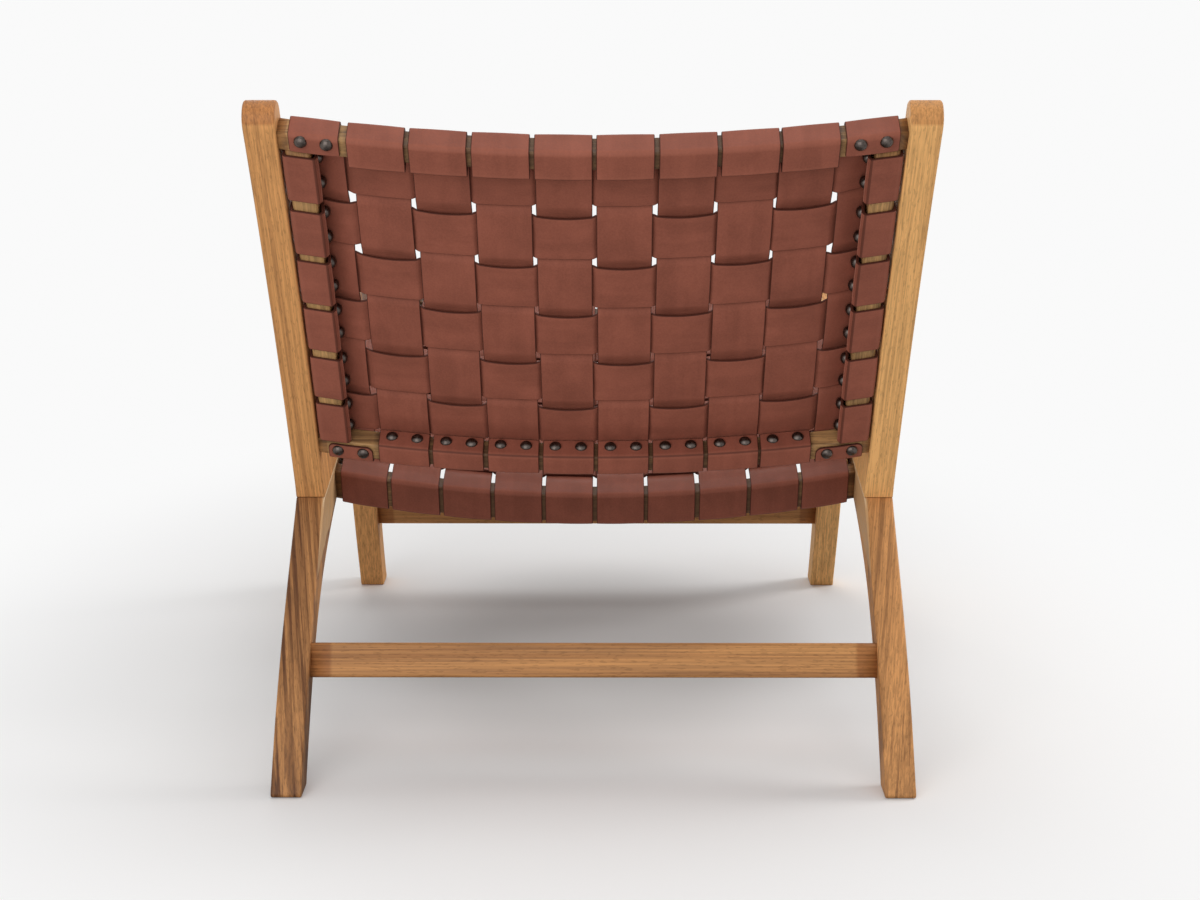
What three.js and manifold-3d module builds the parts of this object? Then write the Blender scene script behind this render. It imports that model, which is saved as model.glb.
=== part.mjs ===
// Low reclined lounge chair: a teak frame whose seat and back are woven from flat leather straps.
// Millimetres, +Z up, +Y towards the front of the chair, +X to the right. The chair stands on z = 0.
import * as THREE from "three";
import { mergeVertices } from "three/addons/utils/BufferGeometryUtils.js";
import Module from "manifold-3d";

const wasm = await Module();
wasm.setup();

const radians = THREE.MathUtils.degToRad;

// Side frames: overall width, thickness of the planks and their eased edges
const CHAIR_WIDTH = 650;
const PLANK_THICK = 31;
const EASED_EDGE = 2;

// Glued joints: the gap left at a seam, tenons and their mortises
const SEAM_GAP = 0.3;
const TENON_LENGTH = 14;
const TENON_SHOULDER = 5;
const MORTISE_CLEARANCE = 0.3;
const LOOSE_TENON = { thick: 9, wide: 44, long: 44 };

// Rear leg and seat rail, sawn as one sweep. The post stands on it at the seam; (y, z) points from the side
const SEAM_REAR = [-167, 256];
const SEAM_SLOPE = radians(10);
const RAIL_SLOPE = radians(18);
const RAIL_NOSE_Y = 395;
const RAIL_NOSE_DEPTH = 36;
const RAIL_NOSE_RADIUS = 15;
const RAIL_ROOT_DEPTH = 36;
const REAR_FOOT_HEEL = -399;
const REAR_FOOT_LENGTH = 41;
const REAR_LEG_KNEE = { along: 130, bulge: 23.3, pull: 0.85 };
const REAR_LEG_ARCH = { footAngle: radians(56), footPull: 165, railPull: 190 };

// Back post: a shallow arc that leans further back towards its rounded top
const POST_LENGTH = 496;
const POST_LEAN_FOOT = radians(27);
const POST_LEAN_TOP = radians(35);
const POST_TOP_DEPTH = 35;
const POST_WAIST_DEPTH = 42;
const POST_WAIST_HEIGHT = 160;
const POST_TOE_LENGTH = 118;
const POST_TOE_HEIGHT = 9;
const POST_JOINT_ALONG = 46;

// Front leg, set back from the rail's nose and raked forward towards the floor. Its bends are (y, z) points
// from the toe and from the rear of the foot
const FRONT_LEG_SETBACK = 73;
const FRONT_LEG_TOP_LENGTH = 100;
const FRONT_LEG_RAKE_LENGTH = 90;
const FRONT_FOOT_LENGTH = 42;
const FRONT_LEG_FRONT_BEND = [-87, 150];
const FRONT_LEG_REAR_BEND = [-90, 158];

// Stretchers: cross-section along and across the leg, height of its middle, and its turn
const REAR_STRETCHER = { along: 36, across: 20, height: 113, turn: radians(-18) };
const FRONT_STRETCHER = { along: 34, across: 22, height: 116, turn: radians(29) };
const STRETCHER_EASE = 3;

// Leather straps
const STRAP_THICK = 3;
const STRAP_SEAT = 0.3;
const WEAVE_GAP = 0.6;
const STRAP_BEND = 3;
const COLUMN_STRAP = 54;
const COLUMN_GAP_LEAST = 4;
const ROW_STRAP = 50.5;
const ROW_GAP_LEAST = 1.5;
const FLAP_END = 6;
const CORNER_FLAP_END = 3;

// Panels: slim stiles just inside the side frames, and how far the rails bow away from the sitter
const STILE_WIDTH = 25;
const STILE_GAP = 5;
const RAIL_EASE = 3;
const BACK = {
  lift: 62,
  topGap: 22,
  inset: 2.5,
  railWidth: 20,
  railDepth: 24,
  bowRail: 31,
  bowMiddle: 36,
  rowLowMargin: 1.25,
  rowHighMargin: 9.25,
  cornerTrim: 6,
};
const SEAT = {
  overhang: 34.8,
  noseGap: 25.5,
  drop: 0.5,
  railWidth: 21,
  railDepth: 35,
  bowRail: 31,
  bowMiddle: 34,
  rowLowMargin: 20,
  rowHighMargin: 20.5,
  cornerTrim: 3,
};

// Working values that follow from the sizes above
const INNER_X = CHAIR_WIDTH / 2 - PLANK_THICK;
const STRAP_LIFT = STRAP_SEAT + STRAP_THICK / 2;
const WEAVE_SWING = (STRAP_THICK + WEAVE_GAP) / 2;
const WEAVE_LEVEL = STRAP_LIFT + WEAVE_SWING;
const STILE_OUTER_X = INNER_X - STILE_GAP;
const STILE_INNER_X = STILE_OUTER_X - STILE_WIDTH;
const COLUMNS = Math.floor((2 * STILE_OUTER_X + COLUMN_GAP_LEAST) / (COLUMN_STRAP + COLUMN_GAP_LEAST));
const COLUMN_PITCH = (2 * STILE_OUTER_X - COLUMN_STRAP) / (COLUMNS - 1);
const SIDES = { left: -1, right: 1 };
const EDGE_STEPS = 40;
const CURVE_STEPS = 14;

const teak = new THREE.MeshStandardMaterial({ color: 0xb07a45, roughness: 0.55, metalness: 0 });
const leather = new THREE.MeshStandardMaterial({ color: 0x8a4a3a, roughness: 0.6, metalness: 0 });

const chair = new THREE.Group();

function addNode(name, geometry, material) {
  const mesh = new THREE.Mesh(geometry, material);
  mesh.name = name;
  chair.add(mesh);
}

// Solids: booleans on closed geometries

function toManifold(geometry) {
  const bare = new THREE.BufferGeometry().setAttribute("position", geometry.getAttribute("position"));
  if (geometry.index) bare.setIndex(geometry.index);
  const merged = mergeVertices(bare, 1e-4);
  const vertProperties = merged.getAttribute("position").array;
  const triVerts = new Uint32Array(merged.index.array);
  return new wasm.Manifold(new wasm.Mesh({ numProp: 3, vertProperties, triVerts }));
}

function cutAway(geometry, cutters) {
  let solid = toManifold(geometry);
  for (const cutter of cutters) solid = solid.subtract(toManifold(cutter));
  const { vertProperties, triVerts } = solid.getMesh();
  return new THREE.BufferGeometry()
    .setAttribute("position", new THREE.BufferAttribute(vertProperties, 3))
    .setIndex(new THREE.BufferAttribute(triVerts, 1));
}

// A closed skin over a row of rings with equal numbers of points, capped at both ends
function skin(rings) {
  const size = rings[0].length;
  const positions = rings.flat().flatMap((point) => point.toArray());
  const triangles = [];
  for (let i = 0; i + 1 < rings.length; i += 1) {
    for (let j = 0; j < size; j += 1) {
      const here = i * size + j;
      const beside = i * size + ((j + 1) % size);
      triangles.push([here, beside, beside + size], [here, beside + size, here + size]);
    }
  }
  const last = (rings.length - 1) * size;
  for (let j = 1; j + 1 < size; j += 1) {
    triangles.push([0, j + 1, j], [last, last + j, last + j + 1]);
  }
  const corner = (index) => new THREE.Vector3().fromArray(positions, index * 3);
  const volume = triangles.reduce((sum, [a, b, c]) => sum + corner(a).dot(corner(b).cross(corner(c))), 0);
  const outward = volume > 0 ? triangles : triangles.map(([a, b, c]) => [a, c, b]);
  return new THREE.BufferGeometry()
    .setAttribute("position", new THREE.Float32BufferAttribute(positions, 3))
    .setIndex(outward.flat());
}

// Rectangle with eased corners as eight (a, b) pairs
function easedRectangle(a0, a1, b0, b1, ease) {
  return [
    [a0 + ease, b0],
    [a1 - ease, b0],
    [a1, b0 + ease],
    [a1, b1 - ease],
    [a1 - ease, b1],
    [a0 + ease, b1],
    [a0, b1 - ease],
    [a0, b0 + ease],
  ];
}

// A plank cut to a side outline in (y, z), with eased edges, standing on one side of the chair
function plank(outline, side) {
  const geometry = new THREE.ExtrudeGeometry(outline, {
    depth: PLANK_THICK - 2 * EASED_EDGE,
    bevelThickness: EASED_EDGE,
    bevelSize: EASED_EDGE,
    bevelOffset: -EASED_EDGE,
    bevelSegments: 1,
    curveSegments: CURVE_STEPS,
  });
  geometry.applyMatrix4(new THREE.Matrix4().set(0, 0, 1, 0, 1, 0, 0, 0, 0, 1, 0, 0, 0, 0, 0, 1));
  const middle = side * (CHAIR_WIDTH - PLANK_THICK) / 2;
  return geometry.translate(middle - PLANK_THICK / 2 + EASED_EDGE, 0, 0);
}

// Side profile: the seam, the rail and the legs' edges, shared by the pieces that meet on them

// A point reached from start by going along a slope, then square up from it
const alongSlope = (start, slope, along, up) => [
  start[0] + along * Math.cos(slope) - up * Math.sin(slope),
  start[1] + along * Math.sin(slope) + up * Math.cos(slope),
];
const seamPoint = (along, up = 0) => alongSlope(SEAM_REAR, SEAM_SLOPE, along, up);
const RAIL_START = seamPoint(POST_TOE_LENGTH);
const RAIL_LENGTH = (RAIL_NOSE_Y - RAIL_START[0]) / Math.cos(RAIL_SLOPE);
const railPoint = (along, up = 0) => alongSlope(RAIL_START, RAIL_SLOPE, along, up);
const RAIL_ROOT = railPoint(0, -RAIL_ROOT_DEPTH);
const NOSE_BOTTOM = railPoint(RAIL_LENGTH, -RAIL_NOSE_DEPTH);
const UNDERSIDE_SLOPE = Math.atan2(NOSE_BOTTOM[1] - RAIL_ROOT[1], NOSE_BOTTOM[0] - RAIL_ROOT[0]);
const railUnderside = (y) => RAIL_ROOT[1] + (y - RAIL_ROOT[0]) * Math.tan(UNDERSIDE_SLOPE);

function bezier(...points) {
  const vectors = points.map((point) => new THREE.Vector2(...point));
  const Curve = vectors.length === 4 ? THREE.CubicBezierCurve : THREE.QuadraticBezierCurve;
  return new Curve(...vectors);
}
const between = (from, to, share) => from.map((value, i) => value + share * (to[i] - value));

const rearHeel = [REAR_FOOT_HEEL, 0];
const rearFootToe = [REAR_FOOT_HEEL + REAR_FOOT_LENGTH, 0];
const rearLegSlope = Math.atan2(SEAM_REAR[1], SEAM_REAR[0] - REAR_FOOT_HEEL);
const rearKnee = alongSlope(rearHeel, rearLegSlope, REAR_LEG_KNEE.along, REAR_LEG_KNEE.bulge);
const rearLegBack = bezier(
  SEAM_REAR,
  between(SEAM_REAR, rearKnee, REAR_LEG_KNEE.pull),
  between(rearHeel, rearKnee, REAR_LEG_KNEE.pull),
  rearHeel,
);
const rearLegArch = bezier(
  rearFootToe,
  alongSlope(rearFootToe, REAR_LEG_ARCH.footAngle, REAR_LEG_ARCH.footPull, 0),
  alongSlope(RAIL_ROOT, UNDERSIDE_SLOPE, -REAR_LEG_ARCH.railPull, 0),
  RAIL_ROOT,
);

const legTopFront = RAIL_NOSE_Y - FRONT_LEG_SETBACK;
const legTopRear = legTopFront - FRONT_LEG_TOP_LENGTH;
const frontToe = [legTopFront + FRONT_LEG_RAKE_LENGTH, 0];
const frontHeel = [frontToe[0] - FRONT_FOOT_LENGTH, 0];
const frontLegFace = bezier(
  frontToe,
  [frontToe[0] + FRONT_LEG_FRONT_BEND[0], FRONT_LEG_FRONT_BEND[1]],
  [legTopFront, railUnderside(legTopFront) - SEAM_GAP],
);
const frontLegBack = bezier(
  [legTopRear, railUnderside(legTopRear) - SEAM_GAP],
  [frontHeel[0] + FRONT_LEG_REAR_BEND[0], FRONT_LEG_REAR_BEND[1]],
  frontHeel,
);

// The middle of a leg at a height, between its two edges
function legMiddle(edges, height) {
  const crossings = edges.map((edge) => {
    const points = edge.getPoints(EDGE_STEPS).sort((a, b) => a.y - b.y);
    const above = points.findIndex((point) => point.y >= height);
    const [low, high] = [points[above - 1], points[above]];
    return low.x + ((height - low.y) / (high.y - low.y)) * (high.x - low.x);
  });
  return [(crossings[0] + crossings[1]) / 2, height];
}

function follow(shape, { v1, v2, v3 }) {
  if (v3) shape.bezierCurveTo(v1.x, v1.y, v2.x, v2.y, v3.x, v3.y);
  else shape.quadraticCurveTo(v1.x, v1.y, v2.x, v2.y);
}

// The post's rear edge is an arc; n is the depth in front of it, square to the arc
const postBend = (POST_LEAN_TOP - POST_LEAN_FOOT) / POST_LENGTH;
const postLean = (s) => POST_LEAN_FOOT + postBend * s;
function backPoint(s, n) {
  const lean = postLean(s);
  return [
    SEAM_REAR[0] - (Math.cos(POST_LEAN_FOOT) - Math.cos(lean)) / postBend + n * Math.cos(lean),
    SEAM_REAR[1] + (Math.sin(lean) - Math.sin(POST_LEAN_FOOT)) / postBend + n * Math.sin(lean),
  ];
}

// Rear leg and seat rail

function sideFrameOutline() {
  const shape = new THREE.Shape();
  const noseTop = railPoint(RAIL_LENGTH);
  shape.moveTo(...rearHeel);
  shape.lineTo(...rearFootToe);
  follow(shape, rearLegArch);
  shape.lineTo(...alongSlope(NOSE_BOTTOM, UNDERSIDE_SLOPE, -RAIL_NOSE_RADIUS, 0));
  shape.quadraticCurveTo(...NOSE_BOTTOM, ...railPoint(RAIL_LENGTH, RAIL_NOSE_RADIUS - RAIL_NOSE_DEPTH));
  shape.lineTo(...railPoint(RAIL_LENGTH, -RAIL_NOSE_RADIUS));
  shape.quadraticCurveTo(...noseTop, ...railPoint(RAIL_LENGTH - RAIL_NOSE_RADIUS));
  shape.lineTo(...RAIL_START);
  shape.lineTo(...SEAM_REAR);
  follow(shape, rearLegBack);
  return shape;
}

// Back post: arc up the rear, round top, then a front edge that flares into a long toe on the seam

function postOutline() {
  const shape = new THREE.Shape();
  const roundStart = POST_LENGTH - POST_TOP_DEPTH / 2;
  const arcSteps = 6;
  const toeTop = seamPoint(POST_TOE_LENGTH, SEAM_GAP + POST_TOE_HEIGHT);
  const waist = backPoint(POST_WAIST_HEIGHT, POST_WAIST_DEPTH);
  const waistLean = postLean(POST_WAIST_HEIGHT);
  const toDown = new THREE.Vector2(Math.sin(waistLean), -Math.cos(waistLean));
  const seamUp = new THREE.Vector2(-Math.sin(SEAM_SLOPE), Math.cos(SEAM_SLOPE));
  const toToe = new THREE.Vector2(toeTop[0] - waist[0], toeTop[1] - waist[1]);
  const reach = toToe.dot(seamUp) / toDown.dot(seamUp);
  const topMiddle = backPoint(roundStart, POST_TOP_DEPTH / 2);

  shape.moveTo(...seamPoint(0, SEAM_GAP));
  shape.lineTo(...seamPoint(POST_TOE_LENGTH, SEAM_GAP));
  shape.lineTo(...toeTop);
  shape.quadraticCurveTo(waist[0] + toDown.x * reach, waist[1] + toDown.y * reach, ...waist);
  shape.lineTo(...backPoint(roundStart, POST_TOP_DEPTH));
  shape.absarc(...topMiddle, POST_TOP_DEPTH / 2, postLean(roundStart), postLean(roundStart) + Math.PI, false);
  for (let i = arcSteps - 1; i > 0; i -= 1) {
    shape.lineTo(...backPoint((roundStart * i) / arcSteps, 0));
  }
  return shape;
}

// Front leg: its top is cut to the slope of the rail's underside

function frontLegOutline() {
  const shape = new THREE.Shape();
  shape.moveTo(...frontHeel);
  shape.lineTo(...frontToe);
  follow(shape, frontLegFace);
  shape.lineTo(...frontLegBack.v0.toArray());
  follow(shape, frontLegBack);
  return shape;
}

// Loose tenon: a small slab let half into each of two pieces, across the seam between them

function looseTenon(side, centre, slope, grow) {
  const { thick, wide, long } = LOOSE_TENON;
  return new THREE.BoxGeometry(thick + 2 * grow, wide + 2 * grow, long + 2 * grow)
    .rotateX(slope)
    .translate(side * (INNER_X + PLANK_THICK / 2), ...centre);
}

// Cross bars: rings in the (y, z) plane strung along X, with a tenon on each end.
// ring(x, shrink) gives the bar's section at x, smaller by shrink all round.

function crossBar(ring, innerStations) {
  const shoulder = INNER_X - SEAM_GAP;
  const tip = INNER_X + TENON_LENGTH;
  return skin([
    ring(-tip, TENON_SHOULDER),
    ring(-shoulder, TENON_SHOULDER),
    ...[-shoulder, ...innerStations, shoulder].map((x) => ring(x, 0)),
    ring(shoulder, TENON_SHOULDER),
    ring(tip, TENON_SHOULDER),
  ]);
}

function mortise(ring, side) {
  const shrink = TENON_SHOULDER - MORTISE_CLEARANCE;
  const deep = INNER_X + TENON_LENGTH + MORTISE_CLEARANCE;
  return skin([ring(side * (INNER_X - SEAM_GAP), shrink), ring(side * deep, shrink)]);
}

function stretcherRing({ along, across, height, turn }, legEdges) {
  const centre = legMiddle(legEdges, height);
  return (x, shrink) => {
    const section = easedRectangle(
      shrink - across / 2,
      across / 2 - shrink,
      shrink - along / 2,
      along / 2 - shrink,
      STRETCHER_EASE,
    );
    return section.map(([a, b]) => new THREE.Vector3(x, ...alongSlope(centre, turn, a, b)));
  };
}

// Panels. A panel has its own coordinates: x across the chair, s along the panel from low to high, and n
// out of it towards the sitter, with n = 0 on the wood. line(s, n) gives (y, z) without the bow.

const backPanel = {
  ...BACK,
  name: "back",
  low: BACK.lift,
  high: POST_LENGTH - BACK.topGap,
  line: (s, n) => backPoint(s, BACK.inset + BACK.railDepth + n),
};
const seatPanel = {
  ...SEAT,
  name: "seat",
  low: 0,
  high: SEAT.overhang + RAIL_LENGTH - SEAT.noseGap,
  line: (s, n) => railPoint(s - SEAT.overhang, n - SEAT.drop),
};

const openLow = (panel) => panel.low + panel.railWidth;
const openHigh = (panel) => panel.high - panel.railWidth;
const rowRoom = (panel) => openHigh(panel) - openLow(panel) - panel.rowLowMargin - panel.rowHighMargin;
const rowCount = (panel) => Math.floor((rowRoom(panel) + ROW_GAP_LEAST) / (ROW_STRAP + ROW_GAP_LEAST));
// Rows are spread evenly and count down from the high end
function rowSpan(panel, row) {
  const pitch = (rowRoom(panel) - ROW_STRAP) / (rowCount(panel) - 1);
  const low = openHigh(panel) - panel.rowHighMargin - ROW_STRAP - row * pitch;
  return [low, low + ROW_STRAP];
}
// The first and last long straps are narrower: their outer edges are trimmed clear of the side frames
function columnSpan(panel, column) {
  const middle = (column - (COLUMNS - 1) / 2) * COLUMN_PITCH;
  const trimLeft = column === 0 ? panel.cornerTrim : 0;
  const trimRight = column === COLUMNS - 1 ? panel.cornerTrim : 0;
  return [middle - COLUMN_STRAP / 2 + trimLeft, middle + COLUMN_STRAP / 2 - trimRight];
}

// Half way between the rails the weave has stretched, and bows a little deeper than the rails do
function bow(panel, x, s) {
  const share = THREE.MathUtils.clamp((s - openLow(panel)) / (openHigh(panel) - openLow(panel)), 0, 1);
  const depth = panel.bowRail - (panel.bowRail - panel.bowMiddle) * 4 * share * (1 - share);
  return depth * Math.max(0, 1 - (x / INNER_X) ** 2);
}

function panelPoint(panel, x, s, n) {
  const [y, z] = panel.line(s, n - bow(panel, x, s));
  return new THREE.Vector3(x, y, z);
}

function railRing(panel, low) {
  return (x, shrink) =>
    easedRectangle(
      low + shrink,
      low + panel.railWidth - shrink,
      shrink - panel.railDepth,
      -shrink,
      RAIL_EASE,
    ).map(([s, n]) => panelPoint(panel, x, s, n));
}

function stile(panel, side) {
  const rowEdges = [];
  for (let row = rowCount(panel) - 1; row >= 0; row -= 1) rowEdges.push(...rowSpan(panel, row));
  const stations = [openLow(panel) + SEAM_GAP, ...rowEdges, openHigh(panel) - SEAM_GAP];
  // The faces twist a little with the bow, so each folds along the same diagonal as the strap round it
  if (side > 0) stations.reverse();
  const section = easedRectangle(STILE_INNER_X, STILE_OUTER_X, -panel.railDepth, 0, RAIL_EASE);
  return skin(stations.map((s) => section.map(([x, n]) => panelPoint(panel, side * x, s, n))));
}

// Straps. A station is a point (p, n) on the strap's middle line with its outward direction (dp, dn);
// p runs along the strap: s for long straps, x for cross straps.

const station = (p, n, dp, dn) => ({ p, n, dp, dn });

// One strap end, from the panel face over the far edge of the wood and round behind it.
// The wood reaches from inner to outer along p, in the direction way, and is deep thick.
function wrapEnd(inner, outer, way, deep, level, flap) {
  const bend = STRAP_BEND + STRAP_LIFT;
  const far = outer + way * STRAP_LIFT;
  const near = inner - way * STRAP_LIFT;
  const behind = -deep - STRAP_LIFT;
  const turn = (p, n, from) =>
    [0, 1, 2].map((i) => {
      const angle = from - (i * Math.PI) / 4;
      const dp = Math.cos(angle) * way;
      const dn = Math.sin(angle);
      return station(p + bend * dp, n + bend * dn, dp, dn);
    });
  const stations = [
    ...turn(far - way * bend, level - bend, Math.PI / 2),
    ...turn(far - way * bend, behind + bend, 0),
  ];
  if (flap === "corner") {
    stations.push(station(inner + way * CORNER_FLAP_END, behind, 0, -1));
  } else {
    stations.push(...turn(near + way * bend, behind + bend, -Math.PI / 2));
    stations.push(station(near, -FLAP_END, -way, 0));
  }
  return stations;
}

function strapSkin(stations, edges, place) {
  const half = STRAP_THICK / 2;
  return skin(
    stations.map(({ p, n, dp, dn }) => [
      place(edges[0], p - dp * half, n - dn * half),
      place(edges[1], p - dp * half, n - dn * half),
      place(edges[1], p + dp * half, n + dn * half),
      place(edges[0], p + dp * half, n + dn * half),
    ]),
  );
}

// Plain weave: long straps lie on the sitter's side where row and column add up to an odd number
const longLevel = (row, column) => WEAVE_LEVEL + ((row + column) % 2 ? WEAVE_SWING : -WEAVE_SWING);
const crossLevel = (row, column) => 2 * WEAVE_LEVEL - longLevel(row, column);

function longStrap(panel, column) {
  const corner = column === 0 || column === COLUMNS - 1;
  const flap = corner ? "corner" : "inner";
  const rest = RAIL_EASE + STRAP_LIFT;
  const weave = [];
  for (let row = 0; row < rowCount(panel); row += 1) {
    const level = longLevel(row, column);
    for (const s of rowSpan(panel, row).reverse()) weave.push(station(s, level, 0, 1));
  }
  const stations = [
    ...wrapEnd(openHigh(panel), panel.high, 1, panel.railDepth, STRAP_LIFT, flap).reverse(),
    station(openHigh(panel) + rest, STRAP_LIFT, 0, 1),
    ...weave,
    station(openLow(panel) - rest, STRAP_LIFT, 0, 1),
    ...wrapEnd(openLow(panel), panel.low, -1, panel.railDepth, STRAP_LIFT, flap),
  ];
  return strapSkin(stations, columnSpan(panel, column), (x, s, n) => panelPoint(panel, x, s, n));
}

function crossStrap(panel, row) {
  const weave = [];
  for (let column = 0; column < COLUMNS; column += 1) {
    const level = crossLevel(row, column);
    for (const x of columnSpan(panel, column)) weave.push(station(x, level, 0, 1));
  }
  const firstLevel = crossLevel(row, 0);
  const lastLevel = crossLevel(row, COLUMNS - 1);
  const stations = [
    ...wrapEnd(-STILE_INNER_X, -STILE_OUTER_X, -1, panel.railDepth, firstLevel, "inner").reverse(),
    ...weave.slice(1, -1),
    ...wrapEnd(STILE_INNER_X, STILE_OUTER_X, 1, panel.railDepth, lastLevel, "inner"),
  ];
  return strapSkin(stations, rowSpan(panel, row), (s, x, n) => panelPoint(panel, x, s, n));
}

// Assembly

const rails = {
  back_top_rail: { panel: backPanel, ring: railRing(backPanel, openHigh(backPanel)) },
  back_bottom_rail: { panel: backPanel, ring: railRing(backPanel, backPanel.low) },
  seat_front_rail: { panel: seatPanel, ring: railRing(seatPanel, openHigh(seatPanel)) },
  seat_rear_rail: { panel: seatPanel, ring: railRing(seatPanel, seatPanel.low) },
};
const rearStretcherRing = stretcherRing(REAR_STRETCHER, [rearLegBack, rearLegArch]);
const frontStretcherRing = stretcherRing(FRONT_STRETCHER, [frontLegBack, frontLegFace]);
const postJoint = seamPoint(POST_JOINT_ALONG);
const legJointY = (legTopRear + legTopFront) / 2;
const legJoint = [legJointY, railUnderside(legJointY)];

for (const [sideName, side] of Object.entries(SIDES)) {
  const postSocket = looseTenon(side, postJoint, SEAM_SLOPE, MORTISE_CLEARANCE);
  const legSocket = looseTenon(side, legJoint, UNDERSIDE_SLOPE, MORTISE_CLEARANCE);
  const sideFrame = cutAway(plank(sideFrameOutline(), side), [
    postSocket,
    legSocket,
    mortise(rails.seat_rear_rail.ring, side),
    mortise(rails.seat_front_rail.ring, side),
    mortise(rearStretcherRing, side),
  ]);
  const post = cutAway(plank(postOutline(), side), [
    postSocket,
    mortise(rails.back_top_rail.ring, side),
    mortise(rails.back_bottom_rail.ring, side),
  ]);
  const frontLeg = cutAway(plank(frontLegOutline(), side), [legSocket, mortise(frontStretcherRing, side)]);
  addNode(`side_frame_${sideName}`, sideFrame, teak);
  addNode(`back_post_${sideName}`, post, teak);
  addNode(`front_leg_${sideName}`, frontLeg, teak);
  addNode(`post_tenon_${sideName}`, looseTenon(side, postJoint, SEAM_SLOPE, 0), teak);
  addNode(`front_leg_tenon_${sideName}`, looseTenon(side, legJoint, UNDERSIDE_SLOPE, 0), teak);
  for (const panel of [backPanel, seatPanel]) {
    addNode(`${panel.name}_stile_${sideName}`, stile(panel, side), teak);
  }
}

addNode("rear_stretcher", crossBar(rearStretcherRing, []), teak);
addNode("front_stretcher", crossBar(frontStretcherRing, []), teak);
for (const [name, { panel, ring }] of Object.entries(rails)) {
  const columnEdges = [];
  for (let column = 0; column < COLUMNS; column += 1) columnEdges.push(...columnSpan(panel, column));
  addNode(name, crossBar(ring, columnEdges), teak);
}
for (const panel of [backPanel, seatPanel]) {
  for (let column = 0; column < COLUMNS; column += 1) {
    addNode(`${panel.name}_strap_long_${column + 1}`, longStrap(panel, column), leather);
  }
  for (let row = 0; row < rowCount(panel); row += 1) {
    addNode(`${panel.name}_strap_cross_${row + 1}`, crossStrap(panel, row), leather);
  }
}

// The origin lies on the floor under the middle of the chair
const extent = new THREE.Box3().setFromObject(chair);
chair.position.y = -(extent.min.y + extent.max.y) / 2;

const lounge = new THREE.Group();
lounge.add(chair);

export default lounge;
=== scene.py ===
"""The looks of a woven lounge chair: oiled teak frame, leather straps wrapped on bowed rails, bronze nails.

Metres, +Z up, +Y towards the front of the chair, +X to the right of the sitter. Side profiles are worked out
as (y, z) points and moved by CHAIR_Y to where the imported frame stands.
"""
import math
import random

import bmesh
import bpy
import numpy as np
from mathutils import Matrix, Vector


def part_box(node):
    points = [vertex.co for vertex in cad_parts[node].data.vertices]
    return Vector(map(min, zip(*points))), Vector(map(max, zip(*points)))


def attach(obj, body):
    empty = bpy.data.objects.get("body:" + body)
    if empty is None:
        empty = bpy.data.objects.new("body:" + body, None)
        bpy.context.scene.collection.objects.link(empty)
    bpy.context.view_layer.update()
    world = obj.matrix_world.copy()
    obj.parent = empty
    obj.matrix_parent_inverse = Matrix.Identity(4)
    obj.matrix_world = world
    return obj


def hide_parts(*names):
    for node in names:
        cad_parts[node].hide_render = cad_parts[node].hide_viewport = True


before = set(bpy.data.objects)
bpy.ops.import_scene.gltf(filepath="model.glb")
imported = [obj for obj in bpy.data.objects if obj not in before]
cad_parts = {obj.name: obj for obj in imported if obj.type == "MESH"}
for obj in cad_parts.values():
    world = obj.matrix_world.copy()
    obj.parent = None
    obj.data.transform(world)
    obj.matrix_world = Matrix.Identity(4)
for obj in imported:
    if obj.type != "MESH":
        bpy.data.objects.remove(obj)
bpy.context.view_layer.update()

BODY = "root"
SIDES = {"left": -1, "right": 1}

# Side planks
CHAIR_WIDTH = 0.650
PLANK_THICK = 0.031
INNER_X = CHAIR_WIDTH / 2 - PLANK_THICK
PLANK_EASE = 0.0024
SOLE_EASE = 0.0016
SEAM_EASE = 0.0008
# The side frame's seam is eased by this, and its eased edge carries a painted highlight
SEAM_HIGHLIGHT_EASE = 0.0015
SEAM_GAP = 0.0003

# Side frame: rear leg and seat side rail in one sweep
SEAM_REAR = (-0.167, 0.256)
SEAM_SLOPE = math.radians(10)
RAIL_SLOPE = math.radians(18)
RAIL_NOSE_Y = 0.395
RAIL_DEPTH = 0.036
RAIL_NOSE_RADIUS = 0.015
REAR_FOOT_HEEL = -0.399
REAR_FOOT_LENGTH = 0.041
KNEE_ALONG = 0.130
KNEE_BULGE = 0.0233
KNEE_PULL = 0.85
ARCH_FOOT_ANGLE = math.radians(56)
ARCH_FOOT_PULL = 0.165
ARCH_RAIL_PULL = 0.190

# Back post
POST_LENGTH = 0.496
POST_LEAN_FOOT = math.radians(27)
POST_LEAN_TOP = math.radians(35)
POST_TOP_DEPTH = 0.035
POST_WAIST_DEPTH = 0.042
POST_WAIST_HEIGHT = 0.160
POST_TOE_LENGTH = 0.118
POST_TOE_HEIGHT = 0.009

# Front leg
FRONT_LEG_SETBACK = 0.073
FRONT_LEG_TOP_LENGTH = 0.100
FRONT_LEG_RAKE_LENGTH = 0.090
FRONT_FOOT_LENGTH = 0.042
FRONT_LEG_FRONT_BEND = (-0.087, 0.150)
FRONT_LEG_REAR_BEND = (-0.090, 0.158)

# Stretchers: size along the leg, size across it, and how far the section is turned
STRETCHERS = {
    "rear_stretcher": (0.036, 0.020, math.radians(-18)),
    "front_stretcher": (0.034, 0.022, math.radians(29)),
}
STRETCHER_EASE = 0.0032

# Woven panels
STILE_WIDTH = 0.025
STILE_GAP = 0.005
STILE_OUTER_X = INNER_X - STILE_GAP
STILE_INNER_X = STILE_OUTER_X - STILE_WIDTH
RAIL_EASE = 0.002
STILE_EASE = 0.0042
COLUMNS = 10
COLUMN_STRAP = 0.054
COLUMN_PITCH = (2 * STILE_OUTER_X - COLUMN_STRAP) / (COLUMNS - 1)
ROW_STRAP = 0.0505
ROW_SPREAD = 0.0003

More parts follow.
